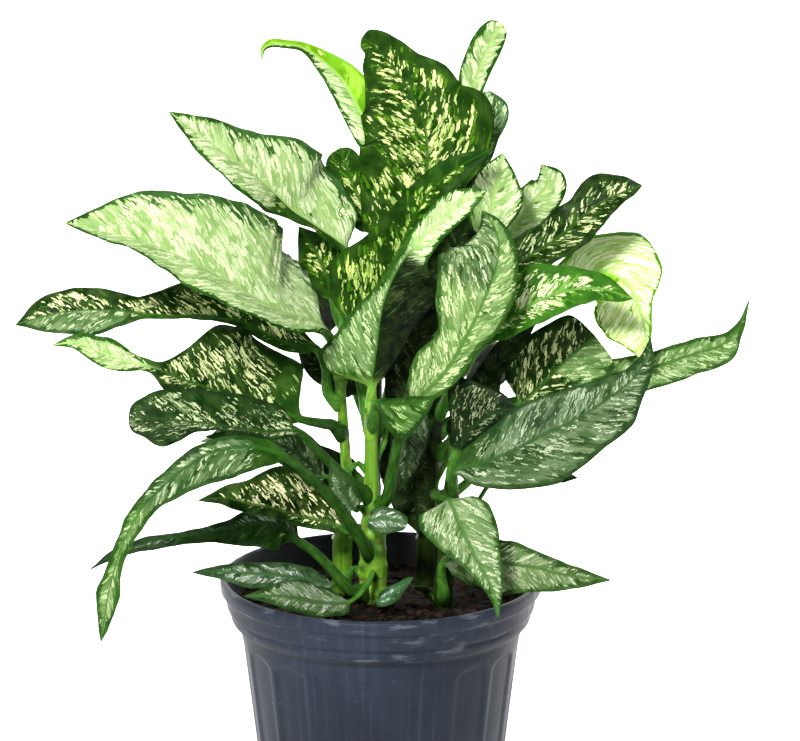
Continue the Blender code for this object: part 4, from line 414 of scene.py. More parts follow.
def knot_slopes(knots):
    """Slopes at the inner knots that keep the curve through them from overshooting."""
    found = []
    for low, here, high in zip(knots, knots[1:], knots[2:]):
        before = (here[1] - low[1]) / (here[0] - low[0])
        after = (high[1] - here[1]) / (high[0] - here[0])
        found.append(2 * before * after / (before + after) if before * after > 0 else 0.0)
    return found


def half_width(wide, share, blunt):
    """Half width in cm at a share of the length, from one number or from (share, cm) pairs."""
    if not isinstance(wide, list):
        return wide * outline(share)
    knots = [(0.0, 0.0), *wide, (1.0, 0.0)]
    slopes = [0.0, *knot_slopes(knots), -wide[-1][1] / (1 - wide[-1][0])]
    i = 0
    while i < len(knots) - 2 and share > knots[i + 1][0]:
        i += 1
    low, high = knots[i], knots[i + 1]
    step = high[0] - low[0]
    part = (share - low[0]) / step
    if i == 0:
        round_start = high[1] * math.sqrt(max(1 - (1 - part) ** 2, 0.0))
        return round_start + hermite(part, 0.0, 0.0, 0.0, slopes[1] * step)
    if blunt and i == len(knots) - 2:
        round_end = low[1] * math.sqrt(max(1 - part**2, 0.0))
        return round_end + hermite(part, 0.0, 0.0, slopes[i] * step, 0.0)
    return hermite(part, low[1], high[1], slopes[i] * step, slopes[i + 1] * step)


def is_small(row):
    sides = (row["left"], row["right"])
    widths = [max(w for _, w in side) if isinstance(side, list) else side for side in sides]
    return max(widths) < SMALL_WIDTH


def seen_share(side, up, sign, lift):
    """How much of the width of a half blade shows from the front."""
    along = up.cross(side)
    along = along - FRONT * along.dot(FRONT)
    if along.length < 0.2:
        return 1.0
    along.normalize()
    out = side * (sign * math.cos(lift)) + up * math.sin(lift)
    out = out - FRONT * out.dot(FRONT)
    return max((out - along * out.dot(along)).length, LEAST_SEEN)


def half_profile(row, share, side, up, sign):
    """Offsets in cm from the midrib to one margin, in equal steps across the half blade."""
    hand = "left" if sign < 0 else "right"
    fold = math.radians(value_at(row.get("fold_" + hand, row["fold"]), share))
    reach = half_width(row[hand], share, row["blunt"])
    if row["seen"]:
        reach /= seen_share(side, up, sign, fold - row["droop"])
    reach += TIP_WIDTH / 2
    x = y = 0.0
    profile = [(0.0, 0.0)]
    for i in range(BEND_STEPS):
        angle = fold - 2 * row["droop"] * (i + 0.5) / BEND_STEPS
        x += math.cos(angle) * reach / BEND_STEPS
        y += math.sin(angle) * reach / BEND_STEPS
        profile.append((sign * x, y))
    return profile


def blade_offset(row, share, u, profiles):
    """Sideways and upward offset in cm of the blade's middle layer; u runs from -1 to 1."""
    profile = profiles[u > 0]
    spot = abs(u) * BEND_STEPS
    i = min(int(spot), BEND_STEPS - 1)
    near, far = profile[i], profile[i + 1]
    high, count, phase = row["wave"]
    turn = count * share + phase + (0.37 if u > 0 else 0.0)
    calm = min(share / 0.2, 1.0) * min((1 - share) / 0.15, 1.0)
    waved = high * abs(u) ** 1.5 * math.sin(2 * math.pi * turn) * calm
    side = near[0] + (far[0] - near[0]) * (spot - i)
    return side, near[1] + (far[1] - near[1]) * (spot - i) + waved


def stalk_radius(row, share):
    """Radius of the stalk in cm; share runs from -1 at its root to 0 at the blade."""
    root, end = SMALL_STALK_RADII if is_small(row) else STALK_RADII
    return end + (root - end) * -min(share, 0.0)


def leaf_root(row):
    """Where the stalk starts, just clear of its cane, and the direction in which it leaves."""
    if row["at"] == "top":
        start = Vector((0, 0, 1))
        return Vector(CANES[row["cane"]][-1][:3]) + start * GAP, start
    way = Vector((*row["way"], 0.0)).normalized()
    middle, _ = cane_axis(row["cane"], row["at"])
    tall = stalk_radius(row, -1.0) * ROOT_STRETCH
    reach = 0.0
    for i in range(-6, 7):
        centre, radius = cane_axis(row["cane"], row["at"] + tall * i / 6)
        reach = max(reach, (centre - middle).dot(way) + radius)
    return middle + way * (reach + GAP), way


def leaf_frames(row, blade_rows, stalk_rows):
    """Points and axes from the root of the stalk to the tip of the blade."""
    root, start = leaf_root(row)
    rise = Vector((0, 0, 0.5 if row["at"] != "top" else 0.0))
    given = [root, root + start * 0.45 + rise] + [Vector(p) for p in row["stalk"] + row["spine"]]
    path, places = smooth_path(given)
    foot = places[2 + len(row["stalk"])]
    stalk = stations(path[: foot + 1], [i / stalk_rows for i in range(stalk_rows)])
    frames = []
    for (spot, along), share in zip(stations(path[foot:], blade_rows), blade_rows):
        side = along.cross(mixed_face(row["face"], share)).normalized()
        frames.append((share, spot, side, side.cross(along).normalized()))
    side = frames[0][2]
    before = []
    for i in range(stalk_rows - 1, -1, -1):
        spot, along = stalk[i]
        if i == 0:
            along = start
        side = (side - along * side.dot(along)).normalized()
        before.append((i / stalk_rows - 1, spot, side, side.cross(along).normalized()))
    return before[::-1] + frames


# ---------------------------------------------------------------- looks of the leaves

# Linear colours: G is the leaf's own green, S its pale inner part or lighter flecks, C the
# cream flecks, rib the midrib. s and c are the shares of the blade that S and C cover, band
# the plain green margin in cm, fleck (across, along the side veins) the size of a fleck in cm,
# patchy how unevenly they lie, dash the strength of the fine dark dashes, gloss the roughness,
# and rim the width in cm in which S fades out at the margin.
LOOK_KEYS = "G S C s c band fleck patchy dash rib gloss rim".split()
LOOKS = {
    "dark": ((0.018, 0.075, 0.003), (0.13, 0.30, 0.015), (0.78, 0.82, 0.42), 0.02, 0.42, 1.2,
             (0.5, 0.75), 2.0, 0.0, (0.045, 0.14, 0.012), 0.42, 0.4),
    "deep": ((0.009, 0.040, 0.003), (0.06, 0.15, 0.015), (0.74, 0.80, 0.46), 0.02, 0.38, 0.6,
             (0.34, 0.65), 1.4, 0.0, (0.05, 0.13, 0.02), 0.40, 0.4),
    "dots": ((0.010, 0.045, 0.008), (0.04, 0.11, 0.02), (0.66, 0.74, 0.46), 0.1, 0.25, 0.5,
             (0.22, 0.32), 1.4, 0.1, (0.04, 0.10, 0.02), 0.42, 0.4),
    "silver": ((0.03, 0.12, 0.012), (0.38, 0.55, 0.22), (0.78, 0.86, 0.58), 0.98, 0.60, 0.3,
               (0.6, 1.1), 1.6, 0.35, (0.40, 0.56, 0.22), 0.42, 0.7),
    "edged": ((0.06, 0.17, 0.04), (0.38, 0.55, 0.22), (0.78, 0.86, 0.58), 0.98, 0.60, 0.5,
              (0.6, 1.1), 1.6, 0.35, (0.40, 0.56, 0.22), 0.42, 2.6),
    "sage": ((0.035, 0.11, 0.016), (0.15, 0.27, 0.085), (0.54, 0.65, 0.38), 0.86, 0.40, 0.4,
             (0.3, 0.8), 1.3, 0.5, (0.08, 0.19, 0.04), 0.42, 0.7),
    "grey": ((0.026, 0.08, 0.018), (0.09, 0.17, 0.06), (0.52, 0.62, 0.40), 0.62, 0.30, 0.5,
             (0.26, 0.6), 1.5, 0.4, (0.045, 0.12, 0.03), 0.44, 0.6),
    "blotch": ((0.04, 0.17, 0.010), (0.15, 0.36, 0.03), (0.88, 0.93, 0.62), 0.2, 0.78, 0.9,
               (0.62, 0.9), 0.9, 0.5, (0.16, 0.36, 0.05), 0.42, 0.4),
    "lime": ((0.20, 0.46, 0.012), (0.32, 0.60, 0.03), (0.80, 0.88, 0.44), 0.4, 0.02, 0.4,
             (0.5, 1.5), 0.3, 0.1, (0.36, 0.58, 0.10), 0.44, 0.3),
    "cream": ((0.12, 0.36, 0.015), (0.55, 0.72, 0.24), (0.92, 0.96, 0.68), 0.92, 0.75, 0.3,
              (0.5, 2.0), 0.8, 0.45, (0.36, 0.58, 0.16), 0.44, 0.6),
    "dull": ((0.035, 0.09, 0.03), (0.11, 0.19, 0.085), (0.45, 0.56, 0.36), 0.60, 0.36, 0.3,
             (0.24, 0.5), 1.0, 0.4, (0.06, 0.13, 0.04), 0.5, 0.4),
    "plain": ((0.022, 0.09, 0.008), (0.07, 0.18, 0.02), (0.40, 0.52, 0.20), 0.05, 0.03, 0.3,
              (0.4, 1.0), 0.3, 0.2, (0.05, 0.16, 0.02), 0.42, 0.4),
    # Painted shade: the shade look's near-black colours stand in for the shadow inside the bush.
    "shade": ((0.005, 0.018, 0.003), (0.012, 0.034, 0.006), (0.10, 0.15, 0.06), 0.1, 0.22, 0.5,
              (0.3, 0.7), 1.2, 0.0, (0.015, 0.045, 0.008), 0.5, 0.4),
}
LOOKS = {name: dict(zip(LOOK_KEYS, row)) for name, row in LOOKS.items()}
# The look of each leaf by its number. Leaves 31, 36 to 38, 41, 42 and 46 to 49 with the shade look,
# and leaf 40 on the far side with the deep look, are near-black painted shade for the shadow inside
# the bush.
PLAIN_LOOKS = {
    "silver": [1, 3, 4, 5, 17, 18], "dark": [2, 14, 33, 34], "deep": [6, 7, 10, 19, 24, 25, 40],
    "dots": [8, 26], "plain": [9, 11], "sage": [13, 15, 16, 22, 27, 28], "cream": [20],
    "grey": [12, 23, 29, 30, 35, 39, 45], "blotch": [21], "dull": [32, 43, 44],
    "shade": [31, 36, 37, 38, 41, 42, 46, 47, 48, 49],
}
# Zones of a leaf with another look: (look, half, from, to), where the half is -1 for left, 1
# for right or 0 for both, and from and to are shares of the length.
# Several zones are painted light and shade on folded or bent blades, not the leaf's own pattern:
# the shade zone on the right half of leaf 15 and its silver tip, the plain foot and grey middle of
# leaf 9 that are darker than its sage tip, the grey far half of leaf 11 and the grey left half of
# leaf 16 near its tip. The lime half of leaf 1 is painted light shining through it.
ZONES = {
    1: [("lime", 1, -1, 2)], 4: [("plain", -1, -1, 0.42), ("edged", 1, -1, 0.75)],
    5: [("edged", 1, -1, 0.85)], 6: [("plain", -1, -1, 0.6), ("grey", -1, 0.62, 2)],
    7: [("plain", 0, -1, 0.14), ("silver", 0, 0.62, 2)],
    9: [("grey", 0, 0.12, 0.55), ("sage", 0, 0.55, 2)],
    11: [("grey", 1, -1, 2), ("grey", 0, 0.6, 2)], 14: [("plain", -1, 0.72, 2)],
    15: [("plain", -1, -1, 0.06), ("shade", 1, -1, 0.6), ("silver", 0, 0.62, 2)],
    16: [("grey", -1, 0.62, 2)], 20: [("lime", 1, 0.3, 0.5)], 21: [("plain", -1, 0.1, 0.3)],
    23: [("plain", -1, -1, 0.12), ("dull", -1, 0.25, 0.66)], 24: [("sage", 1, 0.5, 2)],
}
LEAF_LOOKS = {number: [look, *ZONES.get(number, [])] for look, numbers in PLAIN_LOOKS.items()
              for number in numbers}
# Leaves that are deeper or lighter than their look, as a factor for each colour: partly the leaf's
# own tone, partly painted light and shade, darkening some leaves as painted shade, such as 32, and
# lightening others as painted light, such as 44.
LEAF_TINTS_AND_PAINTED_LIGHT = {
    4: (0.93, 0.93, 0.93), 5: (0.94, 0.94, 0.94), 14: (0.75, 0.85, 0.6), 6: (1.3, 1.25, 1.3),
    16: (1.15, 1.1, 1.1), 20: (1.1, 1.1, 1.15), 23: (0.95, 0.9, 1.0), 26: (0.55, 0.55, 0.55),
    11: (0.7, 0.65, 0.9), 32: (0.6, 0.6, 0.6), 43: (1.1, 1.1, 1.1), 44: (1.5, 1.5, 1.5),
    13: (0.95, 0.85, 1.2), 28: (1.0, 0.9, 1.1), 12: (1.4, 1.2, 1.8), 29: (1.4, 1.25, 1.8),
    30: (1.5, 1.4, 2.2), 27: (1.15, 1.05, 1.3), 45: (0.8, 0.95, 0.6), 10: (2.3, 2.0, 2.4),
}
# Stalk colours: the usual green, a darkened copy on the stalks of leaves 7, 8, 9, 11, 16, 23 and 27
# as painted shade, and a lighter copy on leaf 15's stalk as painted light.
STALK = ((0.03, 0.115, 0.012), (0.07, 0.20, 0.022))
PAINTED_SHADE_STALK = ((0.014, 0.055, 0.006), (0.035, 0.11, 0.012))
STALKS_WITH_PAINTED_LIGHT = {number: PAINTED_SHADE_STALK for number in (7, 8, 9, 11, 16, 23, 27)}
STALKS_WITH_PAINTED_LIGHT[15] = ((0.12, 0.32, 0.03), (0.26, 0.48, 0.07))
UNDERSIDE = (0.13, 0.23, 0.08)
CONTRAST = 1.22  # power put on the leaf colours
SHINE_THROUGH = 0.12
VEIN_SLOPE = 1.05  # cm along the midrib for each cm outwards
VEIN_CURVE = 0.05
VEIN_STEP = 0.45  # cm between side veins

# Fine leaf meshes.
LEAF_STEP = 0.2  # cm between rows along a blade
LEAF_COLUMNS, SMALL_COLUMNS = 25, 17
LEAF_THICK = 0.085
SINK = 0.5  # cm that a stalk runs on into its cane


class Value:
    """A node's output; sums with it add Math nodes."""

    def __init__(self, nodes, socket):
        self.nodes, self.socket = nodes, socket

    def __add__(self, other):
        return self.nodes.math("ADD", self, other)

    def __sub__(self, other):
        return self.nodes.math("SUBTRACT", self, other)

    def __rsub__(self, other):
        return self.nodes.math("SUBTRACT", other, self)

    def __mul__(self, other):
        return self.nodes.math("MULTIPLY", self, other)

    def __truediv__(self, other):
        return self.nodes.math("DIVIDE", self, other)


class Nodes:
    """Short calls for building one material's node tree."""

    def __init__(self, name):
        self.material = bpy.data.materials.new(name)
        self.material.use_nodes = True
        self.tree = self.material.node_tree
        self.shader = self.tree.nodes["Principled BSDF"]

    def feed(self, socket, value):
        if isinstance(value, Value):
            self.tree.links.new(value.socket, socket)
        elif isinstance(value, tuple) and socket.type == "RGBA":
            socket.default_value = (*value, 1.0)
        else:
            socket.default_value = value

    def make(self, kind, inputs, out=0, **settings):
        node = self.tree.nodes.new("ShaderNode" + kind)
        for key, value in settings.items():
            setattr(node, key, value)
        for key, value in inputs.items():
            self.feed(node.inputs[key], value)
        return Value(self, node.outputs[out])

    def math(self, operation, a, b=0.0):
        return self.make("Math", {0: a, 1: b}, operation=operation)

    def smooth(self, value, low, high, to_low=0.0, to_high=1.0):
        return self.make("MapRange", {"Value": value, "From Min": low, "From Max": high,
                                      "To Min": to_low, "To Max": to_high}, "Result",
                         interpolation_type="SMOOTHSTEP")

    def vector(self, x, y, z):
        return self.make("CombineXYZ", {0: x, 1: y, 2: z})

    def split(self, vector):
        parts = self.make("SeparateXYZ", {0: vector}).socket.node
        return [Value(self, socket) for socket in parts.outputs]

    def noise(self, vector, scale=1.0, detail=2.0, roughness=0.5):
        return self.make("TexNoise", {"Vector": vector, "Scale": scale, "Detail": detail,
                                      "Roughness": roughness}, "Fac")

    def voronoi(self, vector, feature="F1", out="Distance"):
        return self.make("TexVoronoi", {"Vector": vector, "Scale": 1.0}, out, feature=feature)

    def mix(self, factor, a, b, blend="MIX"):
        return self.make("Mix", {0: factor, 6: a, 7: b}, 2, data_type="RGBA", blend_type=blend)

    def bump(self, height, strength, distance):
        self.feed(self.shader.inputs["Normal"], self.make(
            "Bump", {"Height": height, "Strength": strength, "Distance": distance}))

    def attribute(self, name):
        return self.make("Attribute", {}, "Vector", attribute_name=name)

    def position(self):
        return self.make("TexCoord", {}, "Object")

    def finish(self, colour, rough, specular):
        """Sets the shader and returns the material."""
        self.feed(self.shader.inputs["Base Color"], colour)
        self.feed(self.shader.inputs["Roughness"], rough)
        self.shader.inputs["Specular IOR Level"].default_value = specular
        return self.material


def zone_mask(n, zone, across, share):
    """1 inside a zone of the blade and 0 outside, with a soft end along the leaf."""
    _, half, start, end = zone
    mask = n.smooth(share, start - 0.04, start + 0.04) * n.smooth(share, end - 0.04, end + 0.04,
                                                                  1.0, 0.0)
    return mask * n.math("GREATER_THAN", across * float(half), 0.0) if half else mask


def zoned(n, looks, masks, key):
    """A look's colour or number, changed where the zones of the leaf say so."""
    value = LOOKS[looks[0]][key]
    for zone, mask in zip(looks[1:], masks):
        other = LOOKS[zone[0]][key]
        value = n.mix(mask, value, other) if isinstance(other, tuple) else (
            mask * (other - value) + value)
    return value


def islands(n, place, cover):
    """Separate flecks: the picked cells of a stretched mosaic, each drawn in a little."""
    pick, room, _ = n.split(n.voronoi(place, out="Color"))
    gap = n.voronoi(place, "DISTANCE_TO_EDGE")
    chosen = cover - pick
    return (n.smooth(chosen, 0.0, 0.08), n.smooth(room * -0.16 + gap, 0.0, 0.07),
            n.smooth(chosen, -0.16, -0.1))


def leaf_material(name, number, looks, seed):
    """Green, pale inner part and cream flecks drawn out along the side veins, with the painted
    light and shade that some looks, zones, tints and stalk colours carry.
    """
    n = Nodes(name)
    across, along, edge = n.split(n.attribute("leaf_place"))
    under, stem, share = n.split(n.attribute("leaf_side"))
    masks = [zone_mask(n, zone, across, share) for zone in looks[1:]]
    main = LOOKS[looks[0]]
    keys = ("G", "S", "C", "band", "c", "s", "rim", "dash", "rib")
    own, pale, cream, band, c, s, rim_wide, dashes, rib_tone = [
        zoned(n, looks, masks, key) for key in keys]
    out = n.math("ABSOLUTE", across)
    flat = n.vector(across, along, seed)
    straight = along - (out * out * VEIN_CURVE + out * VEIN_SLOPE)
    shift = n.noise(flat, 2.2, 3.0) - 0.5
    other = n.noise(n.vector(along, across, seed + 20), 2.2, 3.0) - 0.5
    vein = shift * 0.55 + straight
    reach = other * 0.9 + out + n.math("GREATER_THAN", across, 0.0) * 7.3
    patch = n.noise(flat, 0.42, 2.0) - 0.5
    inside = n.smooth(patch * 1.6 + edge / band, 0.35, 1.5)
    wide, long = main["fleck"]

    def mosaic(size, cover, turn):
        place = n.vector(vein / (wide * size), reach / (long * size), seed + turn)
        return islands(n, place, cover)

    cover = (patch * main["patchy"] + c) * inside
    chosen, inner, lesser = mosaic(1.0, cover, 0.0)
    big, light = chosen * inner, lesser * inner
    chosen, inner, _ = mosaic(0.5, cover * 0.8, 3.1)
    level = s * -0.36 + 0.68
    level = n.smooth(edge / rim_wide, 0.0, 1.0, 1.0, 0.0) * 0.36 + level
    broad = n.noise(n.vector(vein / 0.9, reach / 2.4, seed + 9.7), 1.0, 3.0, 0.6)
    tone = n.smooth(n.noise(flat, 0.9, 3.0), 0.3, 0.7)
    green = n.mix(tone, n.mix(0.25, own, (0.0, 0.0, 0.0)), n.mix(0.06, own, (0.6, 0.8, 0.3)))
    cloud = n.smooth(n.noise(n.vector(vein, reach, seed + 5), 0.9, 3.0), 0.35, 0.65)
    soft = n.mix(cloud, n.mix(0.2, pale, own), n.mix(0.2, pale, cream))
    colour = n.mix(n.smooth(broad - level, -0.03, 0.05), green, soft)
    colour = n.mix(light * 0.75, colour, pale)
    above = n.math("MAXIMUM", big, chosen * inner)
    colour = n.mix(n.smooth(above, 0.05, 0.3), colour, pale)
    fade = n.smooth(n.noise(n.vector(vein, reach, seed + 13), 1.3, 2.0), 0.3, 0.62, 0.3, 1.0)
    colour = n.mix(n.smooth(above, 0.3, 0.8) * fade, colour, cream)
    # Fine dark dashes lie along the side veins, thickest towards the margin.
    dash = n.noise(n.vector(vein / 0.11, reach / 0.8, seed + 31), 1.0, 1.0)
    dash = n.smooth(dash + n.smooth(edge, 0.0, 1.6, 0.09, 0.0), 0.58, 0.68)
    colour = n.mix(dash * dashes, colour, own)
    line = n.math("PINGPONG", (shift * 0.25 + straight) / VEIN_STEP, 0.5)
    line = n.smooth(line, 0.0, 0.16, 1.0, 0.0)
    colour = n.mix(line * 0.2, colour, own)
    rib = n.smooth(out / n.smooth(along, 0.0, 20.0, 0.26, 0.1), 0.45, 1.0, 1.0, 0.0)
    colour = n.mix(rib * 0.85, colour, rib_tone)
    colour = n.mix(n.smooth(edge, 0.02, 0.12, 1.0, 0.0) * 0.7, colour, own)
    colour = n.mix(under, colour, n.mix(0.6, colour, UNDERSIDE))
    # Painted light and shade: per-leaf factors that darken some leaves and lighten others, partly
    # their own tone.
    colour = n.mix(1.0, colour, LEAF_TINTS_AND_PAINTED_LIGHT.get(number, (1.0, 1.0, 1.0)), "MULTIPLY")
    colour = n.make("Gamma", {0: colour, 1: CONTRAST})
    streak = n.noise(n.vector(across * 9.0, along * 0.5, seed))
    # Stalk colour, with a darkened copy as painted shade and a lighter one as painted light on some
    # leaves.
    stalk = n.mix(n.smooth(streak, 0.35, 0.7), *STALKS_WITH_PAINTED_LIGHT.get(number, STALK))
    colour = n.mix(stem, colour, stalk)
    rough = n.smooth(above, 0.0, 1.0, main["gloss"] - 0.03, main["gloss"] + 0.06)
    n.bump(line * -0.5 + n.noise(flat, 6.0, 2.0) * 0.3, 0.3, 0.0010)
    material = n.finish(colour, under * 0.12 + rough, 0.05)
    glow = n.make("BsdfTranslucent", {"Color": colour})
    both = n.make("MixShader", {0: SHINE_THROUGH, 1: Value(n, n.shader.outputs[0]), 2: glow})
    n.feed(n.tree.nodes["Material Output"].inputs["Surface"], both)
    return material


# ---------------------------------------------------------------- meshes


def mesh_object(name, points, faces, material, smooth=True):
    """An object from points in cm."""
    mesh = bpy.data.meshes.new(name)
    mesh.from_pydata([tuple(c * CM for c in p) for p in points], [], faces)
    mesh.polygons.foreach_set("use_smooth", [smooth] * len(mesh.polygons))
    mesh.materials.append(material)
    mesh.update()
    obj = bpy.data.objects.new(name, mesh)
    bpy.context.scene.collection.objects.link(obj)
    return obj


def set_vectors(mesh, name, values):
    attribute = mesh.attributes.new(name, "FLOAT_VECTOR", "POINT")
    attribute.data.foreach_set("vector", [float(c) for v in values for c in v])


def finish_piece(obj, node):
    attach(obj, "root")
    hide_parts(node)


def ease(value):
    """0 below 0, 1 above 1, and a soft climb between."""
    value = min(max(value, 0.0), 1.0)
    return value * value * (3 - 2 * value)


def turns_of(count):
    return [2 * math.pi * i / count for i in range(count)]


def tube_faces(rows, size):
    faces = [tuple(range(size))[::-1], tuple(range((rows - 1) * size, rows * size))]
    for row in range(rows - 1):
        for i in range(size):
            a = row * size + i
            b = row * size + (i + 1) % size
            faces.append((a, b, b + size, a + size))
    return faces


def disc_faces(rings, size):
    """Faces between a middle point and the rings of points around it."""
    faces = [(0, 1 + i, 1 + (i + 1) % size) for i in range(size)]
    for row in range(rings - 1):
        for i in range(size):
            a = 1 + row * size + i
            b = 1 + row * size + (i + 1) % size
            faces.append((a, a + size, b + size, b))
    return faces


def turned_out(points, faces):
    """The faces, turned over if they enclose a negative volume."""
    total = 0.0
    for face in faces:
        a = Vector(points[face[0]])
        for b, c in zip(face[1:], face[2:]):
            total += a.dot(Vector(points[b]).cross(Vector(points[c])))
    return faces if total > 0 else [f[::-1] for f in faces]


def blade_shares(length):
    """Shares of the length for the rows of a blade, closer together at its ends."""
    count = max(28, int(length / LEAF_STEP))
    return [0.5 * (i / count) + 0.5 * (0.5 - 0.5 * math.cos(math.pi * i / count))
            for i in range(count + 1)]


def column_places(columns):
    """Places across a blade from -1 to 1, closer together at the midrib."""
    spots = [2 * i / (columns - 1) - 1 for i in range(columns)]
    return [t * (0.62 + 0.38 * t * t) for t in spots]


def spine_length(row):
    return sum(math.dist(a, b) for a, b in zip(row["spine"], row["spine"][1:]))


def fine_offset(row, place, u, seed, profiles):
    """The CAD blade with a sunk midrib, quilting between side veins and ruffled margins."""
    share, along, reach = place
    side, up = blade_offset(row, share, u, profiles)
    out = abs(u) * reach
    calm = min(share / 0.12, 1.0) * min((1 - share) / 0.1, 1.0)
    half = 2.1 if u > 0 else 0.0
    ruffle = math.sin(along * 1.9 + seed + half) + 0.6 * math.sin(along * 3.3 + 2 * seed + half)
    up += 0.07 * abs(u) ** 3 * ruffle * calm
    vein = along - VEIN_SLOPE * out - VEIN_CURVE * out * out
    up += 0.016 * math.cos(2 * math.pi * vein / VEIN_STEP) * min(out / 0.4, 1.0) * calm
    up -= 0.05 * math.exp(-((out / 0.16) ** 2)) * calm
    return side, up


def fine_ring(row, frame, columns, seed, length):
    """One closed ring across a leaf, with each point's place on the blade and its side."""
    share, _, sideways, upward = frame
    profiles = []
    if share > 0:
        profiles = [half_profile(row, share, sideways, upward, sign) for sign in (-1, 1)]
    reaches = [math.dist(line[0], line[1]) * BEND_STEPS for line in profiles]
    stalk = stalk_radius(row, share)
    size = 2 * columns
    open_by = ease(share / 0.06)
    rib = 0.6 * stalk * (1 - max(share, 0.0)) ** 1.5
    stem = min(max(1 - share / 0.05, 0.0), 1.0)
    spots = column_places(columns)
    ring = []
    for i in range(size):
        turn = math.pi - (i + 0.5) * 2 * math.pi / size
        flat = 0.78 if math.sin(turn) > 0 and share > -0.7 else 1.0
        side, up = tube = (stalk * math.cos(turn), stalk * math.sin(turn) * flat)
        top = i < columns
        u = spots[i if top else size - 1 - i]
        reach = stalk
        if share > 0:
            reach = reaches[u > 0]
            side, up = fine_offset(row, (share, share * length, reach), u, seed, profiles)
            thick = LEAF_THICK / 2 * (1 - 0.35 * abs(u) ** 3)
            up += thick if top else -thick - rib * max(1 - abs(u) * 4, 0.0)
            side = tube[0] + (side - tube[0]) * open_by
            up = tube[1] + (up - tube[1]) * open_by
        place = (reach * u, share * length, reach * (1 - abs(u)))
        ring.append((side, up, place, (0.0 if top else 1.0, stem, share)))
    return ring


def build_leaf(row, number):
    """A leaf as one closed thin mesh: stalk, blade, raised midrib below, sunk one above."""
    seed = 1.7 * number
    length = spine_length(row)
    columns = SMALL_COLUMNS if is_small(row) else LEAF_COLUMNS
    points, places, sides = [], [], []
    frames = leaf_frames(row, blade_shares(length), 6 + 5 * len(row["stalk"]))
    _, start = leaf_root(row)
    share, spot, side, up = frames[0]
    frames.insert(0, (share, spot - start * SINK, side, up))
    for index, frame in enumerate(frames):
        _, spot, side, up = frame
        for x, y, place, kind in fine_ring(row, frame, columns, seed, length):
            point = spot + side * x + up * y
            if index < 2 and row["at"] != "top":
                point.z = spot.z + (point.z - spot.z) * ROOT_STRETCH
            points.append(point)
            places.append(place)
            sides.append(kind)
    faces = turned_out(points, tube_faces(len(frames), 2 * columns))
    looks = LEAF_LOOKS[number]
    skin = leaf_material(row["name"], number, looks, seed)
    obj = mesh_object("fine_" + row["name"], points, faces, skin)
    set_vectors(obj.data, "leaf_place", places)
    set_vectors(obj.data, "leaf_side", sides)
    finish_piece(obj, row["name"])


# ---------------------------------------------------------------- canes

CANE_TURNS = 36
CANE_STEP = 0.22
THIN_CANE = 0.72  # cm: below this radius a cane hardly swells at its leaves
# Factors on each cane's colour: the back, right and front canes are darkened nearly to black as
# painted shade for the shadow inside the bush; the main and left canes are toned down a little.
CANE_TINTS_AND_PAINTED_SHADE = {"cane_main": 0.85, "cane_left": 0.75, "cane_back": 0.08, "cane_right": 0.08,
              "cane_front": 0.1}


def cane_material(name, seed):
    """Streaked green with darker blots, brown leaf scars and a brown foot, darkened by a factor per
    cane that is painted shade on the back, right and front canes.
    """
    n = Nodes(name)
    x, y, z = n.split(n.position())
    streak = n.noise(n.vector(x * 260.0, y * 260.0, z * 14.0), 1.0, 3.0)
    blot = n.noise(n.vector(x * 60.0, y * 60.0, z * 60.0 + seed), 1.0, 3.0)
    colour = n.mix(n.smooth(streak, 0.3, 0.7), (0.07, 0.22, 0.012), (0.21, 0.40, 0.03))
    colour = n.mix(n.smooth(blot, 0.5, 0.7), colour, (0.03, 0.11, 0.01))
    scar, low, _ = n.split(n.attribute("cane_ring"))
    edge = n.noise(n.position(), 140.0, 3.0)
    mark = n.smooth((edge - 0.5) * 0.7 + scar, 0.45, 0.8)
    colour = n.mix(mark * 0.75, colour, (0.16, 0.12, 0.05))
    colour = n.mix(n.smooth(edge * 0.4 + low, 0.75, 1.15), colour, (0.14, 0.09, 0.045))
    # Painted shade: the back, right and front canes are multiplied nearly to black.
    colour = n.mix(1.0, colour, (CANE_TINTS_AND_PAINTED_SHADE[name],) * 3, "MULTIPLY")
    n.bump(streak * 0.4 + mark * 0.5, 0.4, 0.001)
    return n.finish(colour, n.smooth(blot, 0.3, 0.7, 0.34, 0.5), 0.15)


def cane_point(height, angle, roots, centre, radius, number):
    """A point on a cane, swollen towards the leaves that clasp it, and its leaf scar."""
    thin = 1.0 if radius > THIN_CANE else 0.15
    swell, scar = 0.0, 0.0
    for at, way in roots:
        facing = 0.5 + 0.5 * math.cos(angle - way)
        above = height - (at + 0.5 * (facing - 0.5))
        swell += 0.09 * math.exp(-((above / 0.32) ** 2)) * (0.35 + facing) * thin
        scar = max(scar, thin * math.exp(-(((above + 0.45) / 0.1) ** 2)))
    rough = noise.noise(Vector((centre.x + math.cos(angle) * 2, math.sin(angle) * 2,
                                height * 0.8 + number)))
    reach = radius + swell + 0.025 * rough
    return (centre.x + reach * math.cos(angle), centre.y + reach * math.sin(angle), height), scar


def build_cane(name, number):
    """A cane with its node rings, swollen on the side where each leaf clasps it."""
    low, high = CANES[name][0][2], CANES[name][-1][2]
    count = int((high - low) / CANE_STEP)
    roots = [(row["at"], math.atan2(row["way"][1], row["way"][0])) for row in LEAVES
             if row["cane"] == name and row["at"] != "top"]
    points, marks = [], []
    for row in range(count + 1):
        height = low + (high - low) * row / count
        centre, radius = cane_axis(name, height)
        for angle in turns_of(CANE_TURNS):
            point, scar = cane_point(height, angle, roots, centre, radius, number)
            points.append(point)
            marks.append((scar, max(0.0, 1 - (height - SOIL_EDGE) / 1.6), 0.0))
    faces = turned_out(points, tube_faces(count + 1, CANE_TURNS))
    obj = mesh_object("fine_" + name, points, faces, cane_material(name, 3.0 * number))
    set_vectors(obj.data, "cane_ring", marks)
    finish_piece(obj, name)


